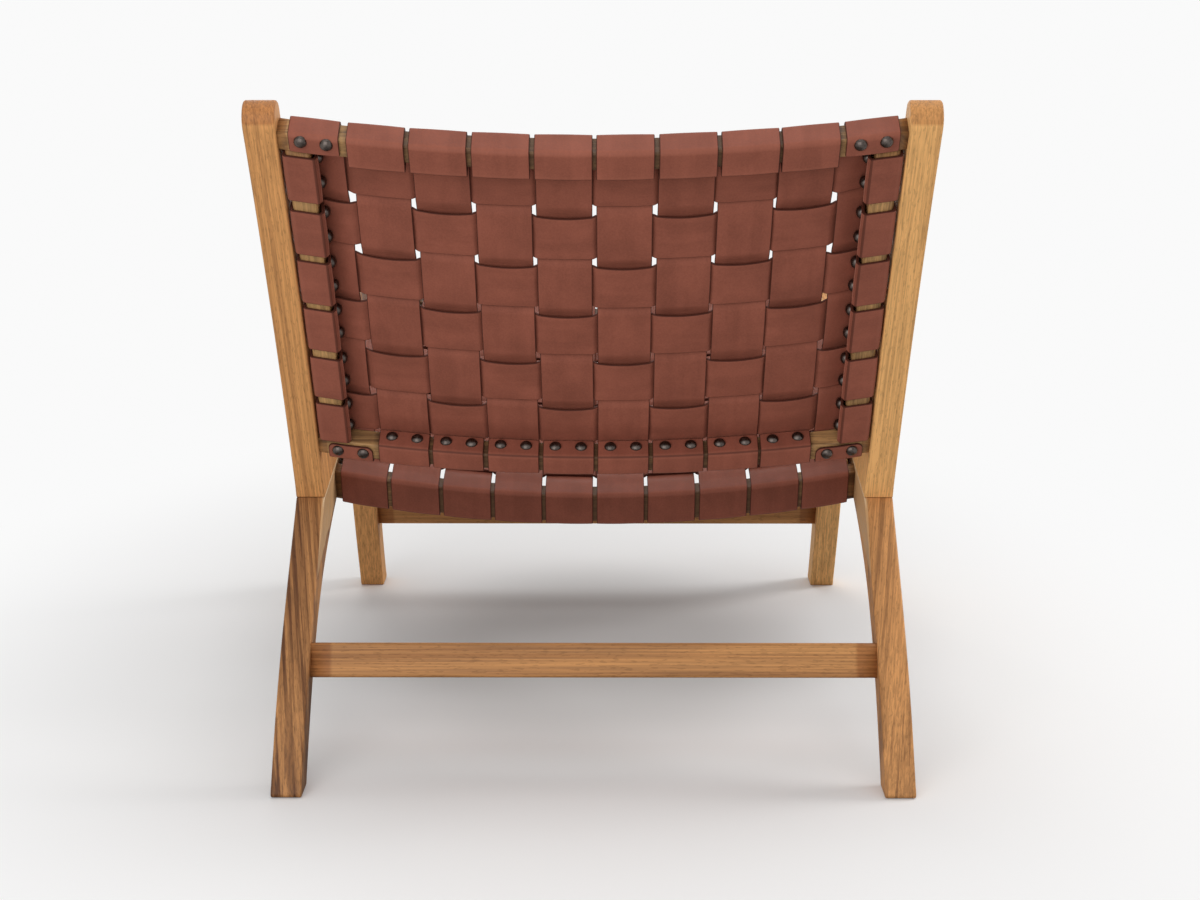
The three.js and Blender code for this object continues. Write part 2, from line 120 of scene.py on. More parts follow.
# Leather: thickness, cut edge, how high the middle of a strap lies over wood and over the weave's middle
STRAP_THICK = 0.0028
STRAP_EDGE = 0.0009
STRAP_CROWN = 0.0004
STRAP_LIFT = 0.0018
WEAVE_LEVEL = 0.0036
WEAVE_SWING = 0.0018
WEAVE_PILLOW = 0.0008
CROSS_PILLOW = 0.0015
CROSS_EDGE_LIFT = 0.0014
WEAVE_DIP = 0.0012
WEAVE_LEAD = 0.0015
WEAVE_SAG = 0.0035
WEAVE_SAG_EDGE = 0.030
RAIL_BEND = 0.0036
FLAP_FOLD = 0.0020
STILE_BEND = 0.0018
STILE_FOLD = 0.0009
STILE_OUTER_SLACK = 0.0012
STILE_INNER_SLACK = 0.0024
STILE_FLAP_SLACK = 0.0048
STILE_FLAP_TURN = 0.0048
STILE_SPREAD_LENGTH = 0.030
FLAP_END = 0.001
CORNER_FLAP_END = 0.003
TOP_FLAP_SLACK = 0.0085
FLAP_CORNER = 0.0015
TAB_CORNER = 0.0065

# Nail heads
NAIL_DIAMETER = 0.0131
NAIL_HEIGHT = 0.0050
RAIL_NAIL_SPACING = 0.027
STILE_NAIL_SPACING = 0.030
TOP_CORNER_NAIL_SPACING = 0.0245
TOP_CORNER_NAIL_RISE = 0.0058

CHAIR_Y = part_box("side_frame_left")[0].y - REAR_FOOT_HEEL


# Profile curves

def along_slope(start, slope, along, up=0.0):
    """The point a distance along a slope from start, and a distance square to it."""
    return (
        start[0] + along * np.cos(slope) - up * np.sin(slope),
        start[1] + along * np.sin(slope) + up * np.cos(slope),
    )


def between(a, b, share):
    return tuple(p + (q - p) * share for p, q in zip(a, b))


def bezier(controls, steps):
    share = np.linspace(0.0, 1.0, steps + 1)[:, None]
    points = [np.array(control, float) for control in controls]
    while len(points) > 1:
        points = [a + (b - a) * share for a, b in zip(points, points[1:])]
    return points[0]


def straight(a, b, spacing=0.02):
    steps = max(2, round(math.dist(a, b) / spacing))
    return bezier([a, b], steps)


def lengths(points):
    """Distance along a line of points to each of them."""
    steps = np.linalg.norm(np.diff(points, axis=0), axis=1)
    return np.concatenate([[0.0], np.cumsum(steps)])


def trimmed(points, first, last):
    """A line of points with a length cut off at each end."""
    run = lengths(points)
    inside = (run > first) & (run < run[-1] - last)
    marks = np.concatenate([[first], run[inside], [run[-1] - last]])
    return np.stack([np.interp(marks, run, points[:, axis]) for axis in range(2)], axis=1)


CORNER_TURN = math.radians(20)
CORNER_STEPS = 5
CORNER_ROOM = 1.15
EASE_GUARD = 0.0006


def closed_outline(stretches):
    """Rows of (y, z, ease) from stretches of (points, ease) laid end to end, their corners rounded."""
    reaches, eases = [], []
    for index, (points, ease) in enumerate(stretches):
        before, before_ease = stretches[index - 1]
        back = before[-2] - before[-1]
        ahead = points[1] - points[0]
        cosine = back @ ahead / (np.linalg.norm(back) * np.linalg.norm(ahead))
        half = math.acos(np.clip(cosine, -1.0, 1.0)) / 2
        eases.append(min(ease, before_ease))
        radius = CORNER_ROOM * (eases[-1] + EASE_GUARD)
        reach = radius * math.cos(half) / math.sin(half) ** 2
        reaches.append(reach if math.pi - 2 * half > CORNER_TURN else 0.0)
    reaches.append(reaches[0])
    cut = [trimmed(points, *reaches[i:i + 2]) for i, (points, ease) in enumerate(stretches)]
    rows = []
    for index, (points, ease) in enumerate(stretches):
        if reaches[index]:
            corner = bezier([cut[index - 1][-1], points[0], cut[index][0]], CORNER_STEPS)
        else:
            corner = points[:1]
        rows += [(y, z, eases[index]) for y, z in corner]
        rows += [(y, z, ease) for y, z in cut[index][1:-1]]
    return np.array(rows)


def inset(outline, distance):
    """An outline's points moved inwards, each by its own distance."""
    points = outline[:, :2]
    ahead = np.roll(points, -1, axis=0) - points
    ahead /= np.linalg.norm(ahead, axis=1)[:, None]
    behind = np.roll(ahead, 1, axis=0)
    area = np.sum(points[:, 0] * np.roll(points[:, 1], -1) - np.roll(points[:, 0], -1) * points[:, 1])
    normal = (ahead + behind) @ np.array([[0.0, 1.0], [-1.0, 0.0]]) * math.copysign(1.0, area)
    normal *= 2 / np.sum((ahead + behind) ** 2, axis=1)[:, None]
    return points + normal * distance[:, None]


def seam_point(along, up=0.0):
    return along_slope(SEAM_REAR, SEAM_SLOPE, along, up)


RAIL_START = seam_point(POST_TOE_LENGTH)
RAIL_LENGTH = (RAIL_NOSE_Y - RAIL_START[0]) / math.cos(RAIL_SLOPE)


def rail_point(along, up=0.0):
    return along_slope(RAIL_START, RAIL_SLOPE, along, up)


def side_frame_outline():
    heel = (REAR_FOOT_HEEL, 0.0)
    toe = (REAR_FOOT_HEEL + REAR_FOOT_LENGTH, 0.0)
    root = rail_point(0.0, -RAIL_DEPTH)
    lean = math.atan2(SEAM_REAR[1], SEAM_REAR[0] - heel[0])
    knee = along_slope(heel, lean, KNEE_ALONG, KNEE_BULGE)
    arch = [
        toe,
        along_slope(toe, ARCH_FOOT_ANGLE, ARCH_FOOT_PULL),
        along_slope(root, RAIL_SLOPE, -ARCH_RAIL_PULL),
        root,
    ]
    rear = [SEAM_REAR, between(SEAM_REAR, knee, KNEE_PULL), between(heel, knee, KNEE_PULL), heel]
    nose_low, nose_high = rail_point(RAIL_LENGTH, -RAIL_DEPTH), rail_point(RAIL_LENGTH)
    before_low = rail_point(RAIL_LENGTH - RAIL_NOSE_RADIUS, -RAIL_DEPTH)
    above_low = rail_point(RAIL_LENGTH, RAIL_NOSE_RADIUS - RAIL_DEPTH)
    below_high = rail_point(RAIL_LENGTH, -RAIL_NOSE_RADIUS)
    behind_high = rail_point(RAIL_LENGTH - RAIL_NOSE_RADIUS)
    return closed_outline([
        (straight(heel, toe), SOLE_EASE),
        (bezier(arch, 40), PLANK_EASE),
        (straight(root, before_low), PLANK_EASE),
        (bezier([before_low, nose_low, above_low], 8), PLANK_EASE),
        (straight(above_low, below_high), PLANK_EASE),
        (bezier([below_high, nose_high, behind_high], 8), PLANK_EASE),
        (straight(behind_high, RAIL_START), PLANK_EASE),
        (straight(RAIL_START, SEAM_REAR), SEAM_HIGHLIGHT_EASE),
        (bezier(rear, 36), PLANK_EASE),
    ])


POST_BEND = (POST_LEAN_TOP - POST_LEAN_FOOT) / POST_LENGTH


def back_point(s, n):
    """A point of the back: s up the rear face of the post, n forwards from it."""
    lean = POST_LEAN_FOOT + POST_BEND * s
    y = SEAM_REAR[0] - (math.cos(POST_LEAN_FOOT) - np.cos(lean)) / POST_BEND + n * np.cos(lean)
    z = SEAM_REAR[1] + (np.sin(lean) - math.sin(POST_LEAN_FOOT)) / POST_BEND + n * np.sin(lean)
    return y, z


def post_outline():
    foot_rear, foot_front = seam_point(0.0, SEAM_GAP), seam_point(POST_TOE_LENGTH, SEAM_GAP)
    toe_top = seam_point(POST_TOE_LENGTH, SEAM_GAP + POST_TOE_HEIGHT)
    waist = back_point(POST_WAIST_HEIGHT, POST_WAIST_DEPTH)
    lean = POST_LEAN_FOOT + POST_BEND * POST_WAIST_HEIGHT
    up_post = (-math.sin(lean), math.cos(lean))
    up_toe = (math.cos(SEAM_SLOPE), math.sin(SEAM_SLOPE))
    # Where the line of the waist meets the line of the toe's top
    gap = (toe_top[0] - waist[0], toe_top[1] - waist[1])
    slide = (gap[0] * up_toe[1] - gap[1] * up_toe[0]) / (up_post[0] * up_toe[1] - up_post[1] * up_toe[0])
    crotch = (waist[0] + slide * up_post[0], waist[1] + slide * up_post[1])
    radius = POST_TOP_DEPTH / 2
    shoulder = POST_LENGTH - radius
    turn = np.linspace(0.0, math.pi, 17)
    top_lean = POST_LEAN_FOOT + POST_BEND * shoulder
    middle = back_point(shoulder, radius)
    top = np.stack(along_slope(middle, top_lean, radius * np.cos(turn), radius * np.sin(turn)), axis=1)
    rear = np.stack(back_point(np.linspace(shoulder, 0.0, 30), 0.0), axis=1)
    rear[-1] = foot_rear
    return closed_outline([
        (straight(foot_rear, foot_front), SEAM_EASE),
        (straight(foot_front, toe_top), SEAM_EASE),
        (bezier([toe_top, crotch, waist], 24), PLANK_EASE),
        (straight(waist, tuple(top[0])), PLANK_EASE),
        (top, PLANK_EASE),
        (rear, PLANK_EASE),
    ])


def front_leg_outline():
    def underside(y):
        along = (y - rail_point(0.0, -RAIL_DEPTH)[0]) / math.cos(RAIL_SLOPE)
        return (y, rail_point(along, -RAIL_DEPTH)[1] - SEAM_GAP)

    top_front = underside(RAIL_NOSE_Y - FRONT_LEG_SETBACK)
    top_rear = underside(RAIL_NOSE_Y - FRONT_LEG_SETBACK - FRONT_LEG_TOP_LENGTH)
    toe = (top_front[0] + FRONT_LEG_RAKE_LENGTH, 0.0)
    heel = (toe[0] - FRONT_FOOT_LENGTH, 0.0)
    front_bend = (toe[0] + FRONT_LEG_FRONT_BEND[0], FRONT_LEG_FRONT_BEND[1])
    rear_bend = (heel[0] + FRONT_LEG_REAR_BEND[0], FRONT_LEG_REAR_BEND[1])
    return closed_outline([
        (straight(heel, toe), SOLE_EASE),
        (bezier([toe, front_bend, top_front], 26), PLANK_EASE),
        (straight(top_front, top_rear), SEAM_EASE),
        (bezier([top_rear, rear_bend, heel], 26), PLANK_EASE),
    ])


# Panels

class Panel:
    """A woven panel: x across, s from its low rail to its high one, n towards the sitter from the wood."""

    def __init__(
        self, name, line, low, high, rail, bow, rows, row_shifts, row_ends, column_shifts, corner_trims,
        leather_tone,
    ):
        self.name = name
        self.line = line
        self.low, self.high = low, high
        self.rail_width, self.rail_depth = rail
        self.open_low, self.open_high = low + self.rail_width, high - self.rail_width
        self.bow_rail, self.bow_middle = bow
        self.rows, low_margin, high_margin = rows
        self.row_top = self.open_high - high_margin
        self.row_pitch = (self.row_top - self.open_low - low_margin - ROW_STRAP) / (self.rows - 1)
        self.row_shifts = row_shifts
        self.row_ends = row_ends
        self.column_shifts = column_shifts
        self.corner_trims = corner_trims
        self.leather_tone = leather_tone

    def bow(self, x, s):
        share = np.clip((s - self.open_low) / (self.open_high - self.open_low), 0.0, 1.0)
        depth = self.bow_rail - (self.bow_rail - self.bow_middle) * 4 * share * (1 - share)
        inside = np.minimum(s - self.open_low, self.open_high - s)
        inside = np.minimum(inside, STILE_INNER_X - np.abs(x))
        slack = np.clip(inside / WEAVE_SAG_EDGE, 0.0, 1.0)
        sag = WEAVE_SAG * slack * slack * (3 - 2 * slack)
        return depth * np.maximum(0.0, 1 - (x / INNER_X) ** 2) + sag

    def point(self, x, s, n):
        y, z = self.line(s, n - self.bow(x, s))
        return np.stack(np.broadcast_arrays(x, y, z), axis=-1)

    def column_span(self, column):
        middle = (column - (COLUMNS - 1) / 2) * COLUMN_PITCH + self.column_shifts[column]
        left = middle - COLUMN_STRAP / 2 + (self.corner_trims[0] if column == 0 else 0.0)
        right = middle + COLUMN_STRAP / 2 - (self.corner_trims[1] if column == COLUMNS - 1 else 0.0)
        return left, right

    def row_span(self, row):
        high = self.row_top - row * self.row_pitch + self.row_shifts[row]
        return high - ROW_STRAP - ROW_SPREAD, high + ROW_SPREAD


BACK_INSET = 0.0025
BACK_RAIL = (0.020, 0.024)
BACK_LOW = 0.062
BACK_TOP_GAP = 0.022
SEAT_OVERHANG = 0.0348
SEAT_NOSE_GAP = 0.0255
SEAT_DROP = 0.0005
SEAT_RAIL = (0.021, 0.035)

BACK = Panel(
    "back",
    lambda s, n: back_point(s, BACK_INSET + BACK_RAIL[1] + n),
    low=BACK_LOW,
    high=POST_LENGTH - BACK_TOP_GAP,
    rail=BACK_RAIL,
    bow=(0.031, 0.036),
    rows=(6, 0.00125, 0.00925),
    row_shifts=(0.0013, -0.0003, 0.0001, 0.0009, -0.0009, -0.0005),
    row_ends=((0.0013, 0.0026),) + ((0.0013, 0.0),) * 4 + ((0.0, 0.0),),
    column_shifts=(0.0, 0.0024, 0.0022, 0.0020, 0.0017, 0.0016, 0.0014, 0.0008, -0.0010, 0.0),
    corner_trims=(0.006, 0.003),
    leather_tone=1.0,
)
SEAT = Panel(
    "seat",
    lambda s, n: rail_point(s - SEAT_OVERHANG, n - SEAT_DROP),
    low=0.0,
    high=RAIL_LENGTH - SEAT_NOSE_GAP + SEAT_OVERHANG,
    rail=SEAT_RAIL,
    bow=(0.031, 0.034),
    rows=(7, 0.020, 0.0205),
    row_shifts=(0.0,) * 7,
    row_ends=((0.0, 0.0),) * 7,
    column_shifts=(0.0,) * COLUMNS,
    corner_trims=(0.002, 0.002),
    leather_tone=0.74,
)


# Node helpers

def fill(tree, node, inputs):
    """Link or set a node's inputs by (socket, source or value) pairs."""
    for socket, source in inputs:
        if isinstance(source, bpy.types.NodeSocket):
            tree.links.new(source, node.inputs[socket])
        else:
            node.inputs[socket].default_value = source


def place_node(tree, kind, inputs=(), **settings):
    node = tree.nodes.new(kind)
    for key, value in settings.items():
        setattr(node, key, value)
    fill(tree, node, inputs)
    return node


def stretched_noise(tree, vector, stretch, detail=2.0, distortion=0.0):
    """Noise drawn out along a vector's axes, as its Fac socket."""
    mapping = place_node(tree, "ShaderNodeMapping", [("Vector", vector), ("Scale", stretch)])
    inputs = [("Vector", mapping.outputs[0]), ("Scale", 1.0), ("Detail", detail), ("Distortion", distortion)]
    return place_node(tree, "ShaderNodeTexNoise", inputs).outputs["Fac"]


RANGE_SOCKETS = ("Value", "From Min", "From Max", "To Min", "To Max")


def ranged(tree, value, low, high, to_low=0.0, to_high=1.0):
    inputs = zip(RANGE_SOCKETS, (value, low, high, to_low, to_high))
    return place_node(tree, "ShaderNodeMapRange", inputs, interpolation_type="SMOOTHSTEP").outputs["Result"]


def calculate(tree, operation, a, b):
    return place_node(tree, "ShaderNodeMath", [(0, a), (1, b)], operation=operation).outputs[0]


def mixed_colour(tree, share, a, b, blend="MIX"):
    inputs = [(0, share), (6, a), (7, b)]
    return place_node(tree, "ShaderNodeMix", inputs, data_type="RGBA", blend_type=blend).outputs[2]


def scaled_colour(tree, colour, factor):
    """A colour times a number that changes over the surface."""
    grey = place_node(tree, "ShaderNodeCombineColor", [(channel, factor) for channel in range(3)])
    return mixed_colour(tree, 1.0, colour, grey.outputs[0], "MULTIPLY")


def surface_group(name, inputs, outputs):
    """An empty shader node group with named sockets, its input sockets and its output node."""
    group = bpy.data.node_groups.new(name, "ShaderNodeTree")
    for way, sockets in (("INPUT", inputs), ("OUTPUT", outputs)):
        for socket, kind in sockets.items():
            group.interface.new_socket(socket, in_out=way, socket_type=f"NodeSocket{kind}")
    return group, group.nodes.new("NodeGroupInput").outputs, group.nodes.new("NodeGroupOutput")


# Teak figure: how far each kind of noise is drawn out along, across and through the grain
STREAK_STRETCH = (1.5, 42.0, 9.0)
LINE_STRETCH = (0.8, 210.0, 26.0)
FIBRE_STRETCH = (8.0, 560.0, 320.0)
PORE_STRETCH = (110.0, 620.0, 420.0)
PORE_SHADE = 0.80
END_STAIN = (0.72, 0.62, 0.57, 1.0)


def teak_figure_group():
    """Sawn teak: broad streaks, growth lines, fibres and pores on a (along, across, depth) grain vector."""
    inputs = {"Grain": "Vector", "Pale": "Color", "Deep": "Color"}
    inputs |= dict.fromkeys(("Streaks", "Lines", "Tone", "End"), "Float")
    outputs = {"Colour": "Color", "Roughness": "Float", "Height": "Float"}
    group, given, made = surface_group("teak_figure", inputs, outputs)
    grain = given["Grain"]
    streaks = ranged(group, stretched_noise(group, grain, STREAK_STRETCH, 3.0, 0.5), 0.36, 0.64)
    lines = ranged(group, stretched_noise(group, grain, LINE_STRETCH, 3.0, 0.6), 0.45, 0.58)
    fibres = stretched_noise(group, grain, FIBRE_STRETCH, 3.0)
    pores = ranged(group, stretched_noise(group, grain, PORE_STRETCH), 0.57, 0.64)
    streaks = calculate(group, "MULTIPLY", streaks, given["Streaks"])
    lines = calculate(group, "MULTIPLY", lines, given["Lines"])
    figure = calculate(group, "ADD", calculate(group, "ADD", streaks, lines), given["Tone"])
    colour = mixed_colour(group, figure, given["Pale"], given["Deep"])
    colour = scaled_colour(group, colour, ranged(group, fibres, 0.32, 0.68, 0.82, 1.17))
    colour = scaled_colour(group, colour, ranged(group, pores, 0.0, 1.0, 1.0, PORE_SHADE))
    end = ranged(group, given["End"], 0.02, 0.12)
    stained = mixed_colour(group, 1.0, colour, END_STAIN, "MULTIPLY")
    fill(group, made, [
        ("Colour", mixed_colour(group, end, colour, stained)),
        ("Roughness", ranged(group, fibres, 0.3, 0.7, 0.42, 0.58)),
        ("Height", calculate(group, "SUBTRACT", calculate(group, "MULTIPLY", fibres, 0.5), pores)),
    ])
    return group


def mottle_group():
    """A colour with a slow, uneven drift of tone."""
    inputs = {"Place": "Vector", "Size": "Float", "Colour": "Color", "Low": "Float", "High": "Float"}
    group, given, made = surface_group("mottle", inputs, {"Colour": "Color", "Drift": "Float"})
    place, size, colour, low, high = (given[name] for name in inputs)
    inputs = [("Vector", place), ("Scale", size), ("Detail", 4.0), ("Roughness", 0.6)]
    drift = ranged(group, place_node(group, "ShaderNodeTexNoise", inputs).outputs["Fac"], 0.3, 0.7)
    span = calculate(group, "SUBTRACT", high, low)
    factor = calculate(group, "ADD", low, calculate(group, "MULTIPLY", drift, span))
    fill(group, made, [("Colour", scaled_colour(group, colour, factor)), ("Drift", drift)])
    return group


# Materials

def blank_material(name):
    material = bpy.data.materials.new(name)
    material.use_nodes = True
    return material, material.node_tree, material.node_tree.nodes["Principled BSDF"]


def attribute(tree, name, output="Fac"):
    return place_node(tree, "ShaderNodeAttribute", attribute_name=name).outputs[output]


BUMP_DEPTH = 0.0004


def bump(tree, height, strength):
    inputs = [("Height", height), ("Strength", strength), ("Distance", BUMP_DEPTH)]
    return place_node(tree, "ShaderNodeBump", inputs).outputs["Normal"]


def mottled(tree, place, size, colour, low, high):
    """The outputs of the mottle group, placed in a material."""
    inputs = [("Place", place), ("Size", size), ("Colour", colour), ("Low", low), ("High", high)]
    return place_node(tree, "ShaderNodeGroup", inputs, node_tree=MOTTLE).outputs


SAPWOOD = (0.660, 0.415, 0.205, 1.0)
SAP_STRETCH = (4.0, 110.0, 110.0)
SAP_WANDER = 0.012
SAP_SHARE = 0.72
# Colour of the painted highlight along the side frame's seam edge
SEAM_PAINTED_HIGHLIGHT = (0.800, 0.620, 0.400, 1.0)
TEAK_SPECULAR = 0.22


def teak_material(name, pale, deep, streaks, lines, plank_marks=False):
    """Teak of one board; plank marks add a sapwood face and a painted highlight on the seam's eased edge,
    and leave out end grain.
    """
    material, tree, shader = blank_material(name)
    grain = attribute(tree, "grain", "Vector")
    figure = place_node(tree, "ShaderNodeGroup", [
        ("Grain", grain),
        ("Pale", (*pale, 1.0)),
        ("Deep", (*deep, 1.0)),
        ("Streaks", streaks),
        ("Lines", lines),
        ("Tone", attribute(tree, "tone")),
    ], node_tree=TEAK_FIGURE)
    colour = figure.outputs["Colour"]
    if plank_marks:
        wander = calculate(tree, "SUBTRACT", stretched_noise(tree, grain, SAP_STRETCH, 3.0), 0.5)
        wander = calculate(tree, "MULTIPLY", wander, SAP_WANDER)
        sap = calculate(tree, "ADD", attribute(tree, "sap"), wander)
        sap = ranged(tree, sap, -0.001, 0.002, 0.0, SAP_SHARE)
        colour = mixed_colour(tree, sap, colour, SAPWOOD)
        # Painted highlight along the eased seam edge
        colour = mixed_colour(tree, attribute(tree, "painted_highlight"), colour, SEAM_PAINTED_HIGHLIGHT)
    else:
        fill(tree, figure, [("End", attribute(tree, "end_grain"))])
    fill(tree, shader, [
        ("Base Color", colour),
        ("Roughness", figure.outputs["Roughness"]),
        ("Normal", bump(tree, figure.outputs["Height"], 0.25)),
        ("Specular IOR Level", TEAK_SPECULAR),
    ])
    return material


LEATHER_FACE = (0.300, 0.097, 0.063, 1.0)
# Dark colour of the leather's cut edges, also used for the painted shade along its folds
LEATHER_CUT_EDGE_AND_FOLD_SHADE = (0.085, 0.026, 0.017, 1.0)
# Paler colour at bends: partly the pull-up of stretched leather, partly a painted highlight
LEATHER_PULLUP_AND_HIGHLIGHT = (0.400, 0.140, 0.090, 1.0)
# Colour of the painted highlight on the strap flaps' turned edges
LEATHER_PAINTED_HIGHLIGHT = (0.520, 0.210, 0.150, 1.0)
LEATHER_SPECULAR = 0.10
SPECKLE_SCALE = 520.0
PEBBLE_SCALE = 850.0


def leather_material():
    """Chestnut strap leather: mottled face, fine pebble, dark cut edges, painted fold shade and flap
    highlights, pull-up and painted highlight where it bends.
    """
    material, tree, shader = blank_material("strap_leather")
    place = attribute(tree, "strap", "Vector")
    face = mottled(tree, place, 26.0, LEATHER_FACE, 0.92, 1.08)
    drawn = ranged(tree, stretched_noise(tree, place, (9.0, 70.0, 1.0), 3.0), 0.35, 0.65, 0.95, 1.05)
    speckle = stretched_noise(tree, place, (SPECKLE_SCALE,) * 3, 3.0)
    colour = scaled_colour(tree, face["Colour"], drawn)
    colour = scaled_colour(tree, colour, ranged(tree, speckle, 0.3, 0.7, 0.94, 1.06))
    colour = scaled_colour(tree, colour, attribute(tree, "tone"))
    # Paler where it bends, partly pull-up of the leather and partly a painted highlight
    bend_pullup_and_highlight = ranged(tree, attribute(tree, "bend"), 0.35, 1.0, 0.0, 0.22)
    # Painted shade: a dark line along the folds
    painted_fold_shade = calculate(tree, "MULTIPLY", attribute(tree, "painted_fold_shade"), 0.75)
    marks = (
        (bend_pullup_and_highlight, LEATHER_PULLUP_AND_HIGHLIGHT),
        (painted_fold_shade, LEATHER_CUT_EDGE_AND_FOLD_SHADE),
        # Painted highlight on the flaps' turned edges
        (attribute(tree, "painted_highlight"), LEATHER_PAINTED_HIGHLIGHT),
        (attribute(tree, "cut_edge"), LEATHER_CUT_EDGE_AND_FOLD_SHADE),
    )
    for share, mark in marks:
        colour = mixed_colour(tree, share, colour, mark)
    pebble = place_node(tree, "ShaderNodeTexVoronoi", [("Vector", place), ("Scale", PEBBLE_SCALE)])
    height = calculate(tree, "ADD", pebble.outputs["Distance"], calculate(tree, "MULTIPLY", speckle, 0.6))
    fill(tree, shader, [
        ("Base Color", colour),
        ("Roughness", ranged(tree, speckle, 0.3, 0.7, 0.44, 0.60)),
        ("Normal", bump(tree, height, 0.22)),
        ("Specular IOR Level", LEATHER_SPECULAR),
    ])
    return material


BRONZE_PATINA = (0.090, 0.074, 0.066, 1.0)


def bronze_material():
    """Dark bronze nail heads with an uneven patina."""
    material, tree, shader = blank_material("nail_bronze")
    place = place_node(tree, "ShaderNodeTexCoord").outputs["Object"]
    patina = mottled(tree, place, 260.0, BRONZE_PATINA, 0.70, 1.30)
    fill(tree, shader, [
        ("Base Color", patina["Colour"]),
        ("Roughness", ranged(tree, patina["Drift"], 0.0, 1.0, 0.26, 0.38)),
        ("Metallic", 1.0),
    ])
    return material


TEAK_FIGURE = teak_figure_group()
MOTTLE = mottle_group()
LEG_TEAK = teak_material("leg_teak", (0.670, 0.320, 0.116), (0.130, 0.050, 0.019), 0.55, 0.40, True)
ORANGE_TEAK = teak_material("orange_teak", (0.720, 0.350, 0.125), (0.280, 0.120, 0.045), 0.30, 0.30)
GOLDEN_TEAK = teak_material("golden_teak", (0.900, 0.495, 0.185), (0.360, 0.150, 0.052), 0.40, 0.54)
RAIL_TEAK = teak_material("rail_teak", (0.560, 0.320, 0.130), (0.130, 0.068, 0.034), 0.45, 0.30)
LEATHER = leather_material()
BRONZE = bronze_material()


# Pieces

def add_object(name, data):
    thing = bpy.data.objects.new(name, data)
    bpy.context.scene.collection.objects.link(thing)
    return thing


def new_piece(name, points, faces, material):
    """A smooth closed mesh with outward faces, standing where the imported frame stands."""
    mesh = bpy.data.meshes.new(name)
    mesh.from_pydata((points + np.array([0.0, CHAIR_Y, 0.0])).tolist(), [], faces)
    shell = bmesh.new()
    shell.from_mesh(mesh)
    bmesh.ops.recalc_face_normals(shell, faces=shell.faces)
    shell.to_mesh(mesh)
    shell.free()
    for face in mesh.polygons:
        face.use_smooth = True
    mesh.materials.append(material)
    piece = add_object(name, mesh)
    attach(piece, BODY)
    return piece


def store(piece, name, values):
    """Keep a number or a vector for each point of a piece."""
    kind = "FLOAT_VECTOR" if values.ndim == 2 else "FLOAT"
    field = "vector" if values.ndim == 2 else "value"
    layer = piece.data.attributes.new(name, kind, "POINT")
    layer.data.foreach_set(field, np.ascontiguousarray(values, np.float32).ravel())


def ring_faces(rings, count):
    """Quads round a stack of closed rings of count points each, and a face over each end."""
    faces = []
    for ring in range(rings - 1):
        low, high = ring * count, (ring + 1) * count
        for i in range(count):
            j = (i + 1) % count
            faces.append((low + i, low + j, high + j, high + i))
    faces.append(tuple(range(count)))
    faces.append(tuple(range((rings - 1) * count, rings * count)))
    return faces


wood_draw = random.Random(12)


def show_grain(piece, along, across, depth, roll, tone):
    """Store wood grain: along the fibres, then across and depth turned by roll, from a spot in the log."""
    points = np.array([vertex.co for vertex in piece.data.vertices])
    normals = np.array([vertex.normal for vertex in piece.data.vertices])
    run, wide, deep = (points @ np.array(axis) for axis in (along, across, depth))
    spot = [wood_draw.uniform(0.0, 9.0) for _ in range(3)]
    ring = wide * math.cos(roll) + deep * math.sin(roll)
    ray = deep * math.cos(roll) - wide * math.sin(roll)
    store(piece, "grain", np.stack([run + spot[0], ring + spot[1], ray + spot[2]], axis=1))
    store(piece, "end_grain", np.abs(normals @ np.array(along)) ** 2)
    store(piece, "tone", np.broadcast_to(tone, len(points)))


EASE_TURNS = np.radians([0.0, 22.5, 45.0, 67.5, 90.0])
SAP_TIP = (-0.2445, 0.1857)
SAP_SLOPE = math.radians(16)
SAP_FADE = 15.0
SEAM_HIGHLIGHT_SHARE = 0.75


def mark_plank(piece, points, ring_count, ease, side):
    """Store where a leg's board shows sapwood, and the painted highlight on the eased edge of its seam."""
    depth = side * points[:, 0] - INNER_X
    up, forward = points[:, 2] - SAP_TIP[1], points[:, 1] - SAP_TIP[0]
    rise = up * math.cos(SAP_SLOPE) - forward * math.sin(SAP_SLOPE)
    store(piece, "sap", rise - SAP_FADE * depth)
    # Painted highlight, strongest half way round the ease
    seam_highlight = np.zeros(ring_count)
    seam_highlight[1:len(EASE_TURNS) + 1] = np.sin(2 * EASE_TURNS) ** 0.5 * SEAM_HIGHLIGHT_SHARE
    store(piece, "painted_highlight", np.outer(seam_highlight, ease == SEAM_HIGHLIGHT_EASE).ravel())


def plank(name, outline, side, material, grain, tones, replaced, marked=False):
    """A side plank sawn to an outline, every edge eased by the outline's own amount.

    grain is the slope of the fibres, how far they lean outwards as they rise, and the turn of the growth
    rings about them. tones are the wood's tone at the floor and at the height of the seam.
    """
    ease = outline[:, 2]
    steps = [(ease + EASE_GUARD, 0.0 * ease)]
    steps += [(ease * (1 - math.sin(turn)), ease * (1 - math.cos(turn))) for turn in EASE_TURNS]
    steps += [(0.0 * ease, ease + EASE_GUARD)]
    rings = [(distance, INNER_X + depth) for distance, depth in steps]
    rings += [(distance, INNER_X + PLANK_THICK - depth) for distance, depth in reversed(steps)]
    layers = [np.column_stack([side * x, inset(outline, distance)]) for distance, x in rings]
    points = np.concatenate(layers)
    piece = new_piece(name, points, ring_faces(len(rings), len(outline)), material)
    if marked:
        mark_plank(piece, points, len(rings), ease, side)
    slope, lean, roll = grain
    level, rise = math.cos(slope), math.sin(slope)
    along = (side * math.sin(lean), math.cos(lean) * level, math.cos(lean) * rise)
    depth = (side * math.cos(lean), -math.sin(lean) * level, -math.sin(lean) * rise)
    tone = tones[0] + (tones[1] - tones[0]) * points[:, 2] / SEAM_REAR[1]
    show_grain(piece, along, (0.0, -rise, level), depth, roll, tone)
    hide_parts(*replaced)


